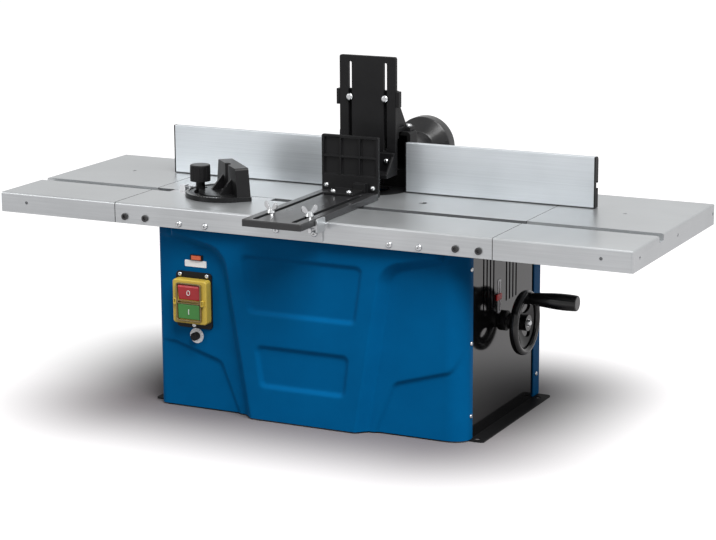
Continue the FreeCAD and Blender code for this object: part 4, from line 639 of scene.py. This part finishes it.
# turned about the Z axis; a profile that doesn't end on the axis is closed into a ring
def turnedSolid(name, profile, sides, flutes=0, fluteDepth=0.0):
    bm = bmesh.new()
    turns = [2 * math.pi * i / sides for i in range(sides)]
    spokes = [1 - fluteDepth * (1 - math.cos(flutes * turn)) / 2 for turn in turns]
    rings = []
    for radius, height in profile:
        if radius == 0:
            rings.append([bm.verts.new((0, 0, height))] * sides)
        else:
            spots = [(radius * spoke * math.cos(turn), radius * spoke * math.sin(turn), height)
                     for turn, spoke in zip(turns, spokes)]
            rings.append([bm.verts.new(spot) for spot in spots])
    if profile[-1][0] == 0:
        bm.faces.new(rings[0][::-1])
    else:
        rings.append(rings[0])
    for a, b in zip(rings, rings[1:]):
        for i in range(sides):
            j = (i + 1) % sides
            bm.faces.new((a[i], a[j], b[i]) if b[i] is b[j] else (a[i], a[j], b[j], b[i]))
    return meshFrom(bm, name)


# screw heads: recesses cut where each head of the CAD piece faces, sized by the head's radius
def crossOutline(arm, half):
    corner = [(arm, -half), (arm, half), (half, half)]
    return [(x * c - y * s, x * s + y * c) for c, s in ((1, 0), (0, 1), (-1, 0), (0, -1)) for x, y in corner]


def hexOutline(reach):
    return [(reach * math.cos(math.pi * i / 3), reach * math.sin(math.pi * i / 3)) for i in range(6)]


recesses = {"cross": {"outline": crossOutline(arm=0.52, half=0.11), "depth": 0.34, "taper": 0.62},
            "hex": {"outline": hexOutline(reach=0.55), "depth": 0.4, "taper": 1.0}}
screwHeads = {"skirt_screws": "cross", "joint_screws": "hex", "cover_screws": "cross",
              "switch_screws": "cross"}
headEdges = {"soft": 0.0003, "sharp": 35, "level": 0.5, "seed": 7}


# faces that hang together, in the order of the mesh, so that each run gives the heads the same turns
def islandsOf(bm):
    seen = set()
    for first in bm.faces:
        if first in seen:
            continue
        seen.add(first)
        group = [first]
        for face in group:
            for other in (near for edge in face.edges for near in edge.link_faces):
                if other not in seen:
                    seen.add(other)
                    group.append(other)
        yield group


def headPlaces(node, rng):
    bm = mergedCopy(node)
    bm.normal_update()
    places = []
    for group in islandsOf(bm):
        spots = list(dict.fromkeys(v for face in group for v in face.verts))
        middle = sum((v.co for v in spots), Vector()) / len(spots)
        seat = max(group, key=lambda face: face.calc_area())
        up = -seat.normal
        lying = abs(up.z) < headEdges["level"]
        outward = middle - Vector((0, 0, middle.z)) if lying else Vector((0, 0, 1))
        if up.dot(outward) < 0 and node == "joint_screws":
            up = -up
        reach = max(v.co.dot(up) for v in spots)
        radius = max((v.co - middle - up * (v.co - middle).dot(up)).length for v in spots)
        side = up.orthogonal().normalized()
        turn = rng.uniform(0, math.pi)
        along = side * math.cos(turn) + up.cross(side) * math.sin(turn)
        places.append({"at": middle + up * (reach - middle.dot(up)), "up": up, "along": along,
                       "size": (radius,) * 3, "height": reach - min(v.co.dot(up) for v in spots)})
    bm.free()
    return places


def cutHeads(node, kind, rng):
    cfg = recesses[kind]
    places = headPlaces(node, rng)
    cloud = pointCloud(node + "Places", places)
    shape = prism(kind + "Cutter", cfg["outline"], -cfg["depth"], cfg["depth"], cfg["taper"])
    cutter = linkNew(kind + "Cutter", shape)
    heads = linkNew(node + "Heads", finishEdges(mergedCopy(node), node + "Heads", headEdges["soft"]))
    mesh = runTree(heads, driveRecess, Places=cloud, Cutter=cutter, Finish=finishes[slotOf[node]])
    keepSharp(mesh, headEdges["sharp"])
    bpy.data.objects.remove(cloud)
    bpy.data.objects.remove(cutter)
    replaceNode(mesh, node + "Piece", node)
    return len(places)


headTurns = np.random.default_rng(headEdges["seed"])
print("screw heads:", sum(cutHeads(node, kind, headTurns) for node, kind in screwHeads.items()))


# coach bolts of the shoes: smooth domes on a thin collar, as shares of the head's radius
coachBolt = {"sides": 28, "sharp": 50,
             "profile": ((1.0, 0.0), (1.0, 0.14), (0.97, 0.26), (0.88, 0.50), (0.72, 0.70), (0.50, 0.84),
                         (0.26, 0.92), (0.0, 0.95))}


def setCoachBolts(node, cfg, rng):
    places = headPlaces(node, rng)
    for place in places:
        place["at"] = place["at"] - place["up"] * place["height"]
    dome = turnedSolid("coachBolt", cfg["profile"], cfg["sides"])
    mesh = setCopies(node + "Places", dome, places, finishes[slotOf[node]])
    keepSharp(mesh, cfg["sharp"])
    replaceNode(mesh, node + "Piece", node)
    return len(places)


boltNodes = ("guard_shoe_screws", "shoe_screws")
print("coach bolts:", sum(setCoachBolts(node, coachBolt, headTurns) for node in boltNodes))


# painted shade: dark discs fill the holes of the extension skirts, where the holes lie in shade, their
# profile as shares of the radius
blindPlug = {"x": 0.464, "drop": 0.0145, "radius": 0.00245, "sides": 24, "sharp": 50,
             "profile": ((1.0, -1.1), (1.0, -0.22), (0.86, -0.12), (0.0, -0.12))}


def shadeSkirtHoles(cfg):
    low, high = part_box("right_extension_table")
    places = []
    for side in (-1, 1):
        for y, out in ((low.y, -1), (high.y, 1)):
            places.append({"at": (side * cfg["x"], y, tableTop - cfg["drop"]), "up": (0, out, 0),
                           "along": (1, 0, 0), "size": (cfg["radius"],) * 3})
    shadeDisc = turnedSolid("blindPlug", cfg["profile"], cfg["sides"])
    mesh = setCopies("plugPlaces", shadeDisc, places, extras["grooveSteel"])
    keepSharp(mesh, cfg["sharp"])
    joinShape(mesh, "skirtPlugs", bodyOf["right_extension_table"], "black_steel", extras["grooveSteel"])
    return len(places)


print("skirt plugs:", shadeSkirtHoles(blindPlug))


# fine flutes round the knob of the mitre gauge, on a sleeve with a wide bore
fluteSleeve = {"flutes": 34, "sides": 204, "depth": 0.045, "over": 0.00005, "top": 0.0028, "bottom": 0.0240,
               "lead": 0.0009, "bore": 0.0120, "sharp": 35}


def fluteKnob(cfg):
    low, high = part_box("mitre_knob")
    radius = (high.x - low.x) / 2 + cfg["over"]
    bottom, top = -cfg["bottom"], -cfg["top"]
    profile = ((radius - cfg["lead"], bottom), (radius, bottom + cfg["lead"]), (radius, top - cfg["lead"]),
               (radius - cfg["lead"], top), (cfg["bore"], top), (cfg["bore"], bottom))
    mesh = turnedSolid("knobFlutes", profile, cfg["sides"], cfg["flutes"], cfg["depth"])
    keepSharp(mesh, cfg["sharp"])
    mesh.transform(Matrix.Translation(((low.x + high.x) / 2, (low.y + high.y) / 2, high.z)))
    joinShape(mesh, "knobFlutes", bodyOf["mitre_knob"], slotOf["mitre_knob"], ownFinish["mitre_knob"])


fluteKnob(fluteSleeve)
print("mitre knob fluted")


# printed ticks: height scale, speed dial and mitre plate
unitBar = [(-0.5, -0.5), (0.5, -0.5), (0.5, 0.5), (-0.5, 0.5)]


def printTicks(name, node, places, slot, finish):
    mesh = setCopies(name, prism("tickTemplate", unitBar, 0, 1), places, finish)
    joinShape(mesh, name, bodyOf[node], slot, finish)
    return len(places)


def tickSize(cfg, step):
    return (cfg["long"] if step % cfg["every"] == 0 else cfg["short"], cfg["width"], cfg["rise"])


heightTicks = {"pitch": 0.0025, "count": 17, "every": 4, "long": 0.0022, "short": 0.0012, "width": 0.00015,
               "inset": 0.0003, "rise": 0.00006}


def scalePlaces(cfg):
    low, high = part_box("height_scale")
    middle = (low.z + high.z) / 2
    places = []
    for i in range(cfg["count"]):
        step = i - cfg["count"] // 2
        size = tickSize(cfg, step)
        places.append({"at": (high.x, high.y - cfg["inset"] - size[0] / 2, middle + step * cfg["pitch"]),
                       "up": (1, 0, 0), "along": (0, 1, 0), "size": size})
    return places


def ringPlaces(middle, up, angles, radius, sizes):
    up = Vector(up)
    first = Vector((1, 0, 0))
    second = up.cross(first)
    places = []
    for angle, size in zip(angles, sizes):
        out = first * math.cos(angle) + second * math.sin(angle)
        places.append({"at": Vector(middle) + out * radius, "up": up, "along": out, "size": size})
    return places


dialTicks = {"count": 11, "spread": 280, "every": 2, "radius": 0.0101, "long": 0.0016, "short": 0.0010,
             "width": 0.0004, "rise": 0.00006}


def dialPlaces(cfg):
    low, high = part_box("dial_ring")
    middle = ((low.x + high.x) / 2, low.y, (low.z + high.z) / 2)
    half = math.radians(cfg["spread"] / 2)
    angles = [math.pi / 2 - half + 2 * half * i / (cfg["count"] - 1) for i in range(cfg["count"])]
    sizes = [tickSize(cfg, i) for i in range(cfg["count"])]
    return ringPlaces(middle, (0, -1, 0), angles, cfg["radius"], sizes)


mitreTicks = {"pitch": 5, "half": 60, "every": 15, "fromEdge": 0.0028, "long": 0.0040, "short": 0.0026,
              "width": 0.0005, "rise": 0.00006, "pivot": (-0.180, -0.063), "turn": 225, "rimRise": 0.0073,
              "plateRadius": 0.062}


def mitrePlaces(cfg):
    steps = range(-cfg["half"], cfg["half"] + 1, cfg["pitch"])
    angles = [math.radians(cfg["turn"] + step) for step in steps]
    sizes = [tickSize(cfg, step) for step in steps]
    middle = (*cfg["pivot"], tableTop + cfg["rimRise"])
    return ringPlaces(middle, (0, 0, 1), angles, cfg["plateRadius"] - cfg["fromEdge"], sizes)


tickCount = printTicks("heightTicks", "height_scale", scalePlaces(heightTicks), "black_plastic",
                       extras["markBlack"])
tickCount += printTicks("dialTicks", "dial_ring", dialPlaces(dialTicks), slotOf["dial_ring"],
                        extras["markBlack"])
tickCount += printTicks("mitreTicks", "mitre_head", mitrePlaces(mitreTicks), "label_white",
                        extras["markWhite"])
print("printed ticks:", tickCount)


# crank grip, turned to a rule: the radius along its length comes from one curve
gripRule = {"points": ((0.0, 0.66), (0.25, 0.80), (0.62, 0.94), (0.88, 0.93), (1.0, 0.88)), "radius": 0.013,
            "rings": 48, "sides": 40, "weld": 0.00001, "cap": 0.0016, "capSteps": 4, "capAngle": 60}


def makeTurnedGrip(cfg):
    tree, ids, given = startTree("turnedGrip", Geometry="Geometry", Start="Vector", End="Vector",
                                 Radius="Float", Finish="Material")
    line = addNode(tree, 'GeometryNodeCurvePrimitiveLine', {"Start": given.outputs["Start"],
                                                            "End": given.outputs["End"]})
    fine = addNode(tree, 'GeometryNodeResampleCurve', {"Curve": line.outputs["Curve"], "Count": cfg["rings"]})
    along = addNode(tree, 'GeometryNodeSplineParameter')
    rule = addNode(tree, 'ShaderNodeFloatCurve', {"Value": along.outputs["Factor"]})
    curve = rule.mapping.curves[0]
    for i, (x, y) in enumerate(cfg["points"]):
        point = curve.points[i] if i < len(curve.points) else curve.points.new(x, y)
        point.location = (x, y)
    rule.mapping.update()
    thick = maths(tree, 'MULTIPLY', rule.outputs["Value"], given.outputs["Radius"])
    ring = addNode(tree, 'GeometryNodeCurvePrimitiveCircle', {"Resolution": cfg["sides"], "Radius": 1.0})
    tube = addNode(tree, 'GeometryNodeCurveToMesh', {"Curve": fine.outputs["Curve"],
                                                     "Profile Curve": ring.outputs["Curve"],
                                                     "Scale": thick, "Fill Caps": True})
    real = addNode(tree, 'GeometryNodeRealizeInstances', {"Geometry": tube.outputs["Mesh"]})
    endTree(tree, real.outputs["Geometry"], given.outputs["Finish"])
    return tree, ids


def turnGrip(cfg):
    low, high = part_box("crank_grip")
    y, z = (low.y + high.y) / 2, (low.z + high.z) / 2
    seed = linkNew("gripSeed", bpy.data.meshes.new("gripSeed"))
    turned = runTree(seed, makeTurnedGrip(cfg), Start=(low.x, y, z), End=(high.x, y, z), Radius=cfg["radius"],
                     Finish=finishes[slotOf["crank_grip"]])
    bm = bmesh.new()
    bm.from_mesh(turned)
    bmesh.ops.remove_doubles(bm, verts=bm.verts, dist=cfg["weld"])
    bmesh.ops.recalc_face_normals(bm, faces=bm.faces)
    mesh = finishEdges(bm, "crankGripTurned", cfg["cap"], cfg["capSteps"], cfg["capAngle"])
    replaceNode(mesh, "crankGripPiece", "crank_grip")


turnGrip(gripRule)
print("crank grip turned")


# marks on the two switch keys, the bezel of the reset button and the smoked frame with its bar and latches
def loopSolid(outer, inner, back, front):
    bm = bmesh.new()
    edges = ((outer, back), (outer, front), (inner, front), (inner, back))
    rings = [[bm.verts.new((x, y, z)) for x, z in loop] for loop, y in edges]
    for a, b in zip(rings, rings[1:] + rings[:1]):
        for i in range(len(a)):
            j = (i + 1) % len(a)
            bm.faces.new((a[i], a[j], b[j], b[i]))
    bmesh.ops.recalc_face_normals(bm, faces=bm.faces)
    return bm


def ovalLoop(middle, halfX, halfZ, count=36):
    turns = [2 * math.pi * i / count for i in range(count)]
    return [(middle[0] + halfX * math.cos(turn), middle[1] + halfZ * math.sin(turn)) for turn in turns]


def roundedLoop(middle, halfX, halfZ, radius, steps=6):
    loop = []
    for k, (sx, sz) in enumerate(((1, 1), (-1, 1), (-1, -1), (1, -1))):
        for i in range(steps + 1):
            angle = math.pi / 2 * (k + i / steps)
            loop.append((middle[0] + sx * (halfX - radius) + radius * math.cos(angle),
                         middle[1] + sz * (halfZ - radius) + radius * math.sin(angle)))
    return loop


keyMarks = {"halfX": 0.0030, "halfZ": 0.0040, "stroke": 0.0009, "rise": 0.0001, "sink": 0.0004,
            "barHalf": 0.0006, "barCorner": 0.0003, "coreHalf": (0.00006, 0.0036), "coreCorner": 0.00003,
            "barSteps": 2}


def markKeys(cfg):
    for node, shape in (("stop_button", "ring"), ("start_button", "bar")):
        low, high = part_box(node)
        middle = ((low.x + high.x) / 2, (low.z + high.z) / 2)
        if shape == "ring":
            outer = ovalLoop(middle, cfg["halfX"], cfg["halfZ"])
            inner = ovalLoop(middle, cfg["halfX"] - cfg["stroke"], cfg["halfZ"] - cfg["stroke"])
        else:
            outer = roundedLoop(middle, cfg["barHalf"], cfg["halfZ"], cfg["barCorner"], cfg["barSteps"])
            inner = roundedLoop(middle, *cfg["coreHalf"], cfg["coreCorner"], cfg["barSteps"])
        bm = loopSolid(outer, inner, low.y + cfg["sink"], low.y - cfg["rise"])
        mesh = meshFrom(bm, node + "Mark", smooth=False)
        joinShape(mesh, node + "Mark", bodyOf[node], "label_white", extras["markWhite"])


resetBezel = {"gap": 0.0003, "side": 0.0024, "edge": 0.0007, "rise": 0.0022, "sink": 0.0004, "corner": 0.0008,
              "soft": 0.0002}


def addResetBezel(cfg):
    low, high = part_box("reset_button")
    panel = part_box("label_plate")[1].y
    middle = ((low.x + high.x) / 2, (low.z + high.z) / 2)
    halfX, halfZ = (high.x - low.x) / 2 + cfg["gap"], (high.z - low.z) / 2 + cfg["gap"]
    outer = roundedLoop(middle, halfX + cfg["side"], halfZ + cfg["edge"], cfg["corner"])
    inner = roundedLoop(middle, halfX, halfZ, cfg["gap"])
    bm = loopSolid(outer, inner, panel + cfg["sink"], panel - cfg["rise"])
    joinShape(finishEdges(bm, "resetBezel", cfg["soft"]), "resetBezel", bodyOf["switch_box"], "black_plastic")


# the slots of the bar and latches are shares of their own half sizes and corners
switchFrame = {"over": 0.0032, "wall": 0.0018, "rise": 0.0036, "sink": 0.0006, "corner": 0.0035,
               "soft": 0.0005, "softSteps": 3, "barGap": 0.0005, "barCorner": 0.4, "barSlot": 0.5,
               "barSlotCorner": 0.2, "barSoft": 0.0004, "latch": (0.0045, 0.0095, 0.0042),
               "latchCorner": 0.0015, "latchSlot": (0.35, 0.6), "latchSlotCorner": 0.3}


def addSwitchFrame(cfg):
    stop, start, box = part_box("stop_button"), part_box("start_button"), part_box("switch_box")
    face, wall, corner = box[0].y, cfg["wall"], cfg["corner"]
    halfX = (stop[1].x - stop[0].x) / 2 + cfg["over"]
    halfZ = (stop[1].z - start[0].z) / 2 + cfg["over"]
    middle = ((stop[0].x + stop[1].x) / 2, (stop[1].z + start[0].z) / 2)

    def addTrim(name, outer, inner, rise, soft, finish):
        bm = loopSolid(outer, inner, face + cfg["sink"], face - rise)
        mesh = finishEdges(bm, name, soft, cfg["softSteps"])
        joinShape(mesh, name, bodyOf["switch_box"], "switch_yellow", finish)

    outer = roundedLoop(middle, halfX, halfZ, corner)
    inner = roundedLoop(middle, halfX - wall, halfZ - wall, corner - wall / 2)
    addTrim("switchFrame", outer, inner, cfg["rise"], cfg["soft"], extras["smokedClear"])

    barHalf = (stop[0].z - start[1].z) / 2 - cfg["barGap"]
    outer = roundedLoop(middle, halfX - wall, barHalf, barHalf * cfg["barCorner"])
    inner = roundedLoop(middle, halfX - 2 * wall, barHalf * cfg["barSlot"], barHalf * cfg["barSlotCorner"])
    addTrim("switchBar", outer, inner, cfg["rise"], cfg["barSoft"], extras["smokedClear"])

    width, height, rise = cfg["latch"]
    slotX, slotZ = cfg["latchSlot"]
    slotCorner = cfg["latchCorner"] * cfg["latchSlotCorner"]
    for name, side in (("switchLatchLeft", -1), ("switchLatchRight", 1)):
        place = (middle[0] + side * (halfX + width / 2), middle[1])
        outer = roundedLoop(place, width / 2, height / 2, cfg["latchCorner"])
        inner = roundedLoop(place, width / 2 * slotX, height / 2 * slotZ, slotCorner)
        addTrim(name, outer, inner, rise, cfg["soft"], finishes["switch_yellow"])


markKeys(keyMarks)
addResetBezel(resetBezel)
addSwitchFrame(switchFrame)
print("switch marks, bezel and frame set")


# floor, world and lamps: the floor glows white away from the machine, as a cut-out picture does, and near it
# keeps a dark floor colour with no glow, a painted shadow round the base
stage = {"floorSize": 30, "floorShadeColour": (0.185, 0.172, 0.178, 1), "floorRough": 0.85, "floorSpecular": 0.1,
         "shadowFadeStart": 0.02, "shadowFadeEnd": 0.36, "shadowShift": (0.035, 0.0, 0), "shadowHalf": (0.225, 0.125, 0),
         "mirrorGlow": 0.72, "ambient": 0.19, "mirrorWorld": 0.83, "white": (1, 1, 1, 1)}


def seenLevel(tree, mirrorShare):
    seen = addNode(tree, 'ShaderNodeLightPath').outputs
    straight = maths(tree, 'MAXIMUM', seen["Is Camera Ray"], seen["Is Transmission Ray"])
    mirrored = maths(tree, 'MULTIPLY', seen["Is Glossy Ray"], mirrorShare)
    return maths(tree, 'MAXIMUM', straight, mirrored)


def addFloor(cfg):
    bpy.ops.mesh.primitive_plane_add(size=cfg["floorSize"], location=(0, 0, 0))
    floor = bpy.context.object
    floor.name = "studioFloor"
    mat, tree, bsdf = startMaterial("studioFloor", 0.0, cfg["floorSpecular"])
    bsdf.inputs["Base Color"].default_value = cfg["floorShadeColour"]
    bsdf.inputs["Roughness"].default_value = cfg["floorRough"]
    # painted shadow: the glow fades out inside a box round the machine, so the dark floor colour shows there
    place = addNode(tree, 'ShaderNodeTexCoord').outputs["Object"]
    shifted = vectorMaths(tree, 'ADD', place, cfg["shadowShift"])
    folded = vectorMaths(tree, 'ABSOLUTE', shifted)
    beyond = vectorMaths(tree, 'SUBTRACT', folded, cfg["shadowHalf"])
    away = vectorMaths(tree, 'LENGTH', vectorMaths(tree, 'MAXIMUM', beyond, (0, 0, 0)))
    spread = remap(tree, away, (cfg["shadowFadeStart"], cfg["shadowFadeEnd"]), kind='SMOOTHSTEP')
    glow = maths(tree, 'MULTIPLY', seenLevel(tree, cfg["mirrorGlow"]), spread)
    bsdf.inputs["Emission Color"].default_value = cfg["white"]
    wire(tree, glow, bsdf.inputs["Emission Strength"])
    floor.data.materials.append(mat)


def addWorld(cfg):
    world = scene.world or bpy.data.worlds.new("studio")
    scene.world = world
    world.use_nodes = True
    tree = world.node_tree
    tree.nodes.clear()
    level = maths(tree, 'MAXIMUM', seenLevel(tree, cfg["mirrorWorld"]), cfg["ambient"])
    sky = addNode(tree, 'ShaderNodeBackground', {"Color": cfg["white"], "Strength": level})
    wire(tree, sky.outputs[0], addNode(tree, 'ShaderNodeOutputWorld').inputs["Surface"])


lampAim = Vector((0, 0, 0.25))
lamps = {"key": {"at": (1.75, -1.55, 3.3), "size": 2.2, "watts": 224},
         "fill": {"at": (-2.2, -2.8, 1.5), "size": 1.6, "watts": 24},
         "top": {"at": (0.2, 0.3, 3.0), "size": 1.8, "watts": 14},
         "rim": {"at": (3.0, 0.3, 1.3), "size": 1.8, "watts": 11}}


def addLamp(name, cfg):
    light = bpy.data.lights.new(name, 'AREA')
    light.size = cfg["size"]
    light.energy = cfg["watts"]
    spot = Vector(cfg["at"])
    turn = (spot - lampAim).to_track_quat('Z', 'Y').to_matrix().to_4x4()
    linkNew(name, light).matrix_world = Matrix.Translation(spot) @ turn


addFloor(stage)
addWorld(stage)
for name, cfg in lamps.items():
    addLamp(name, cfg)
print("stage and lamps set")
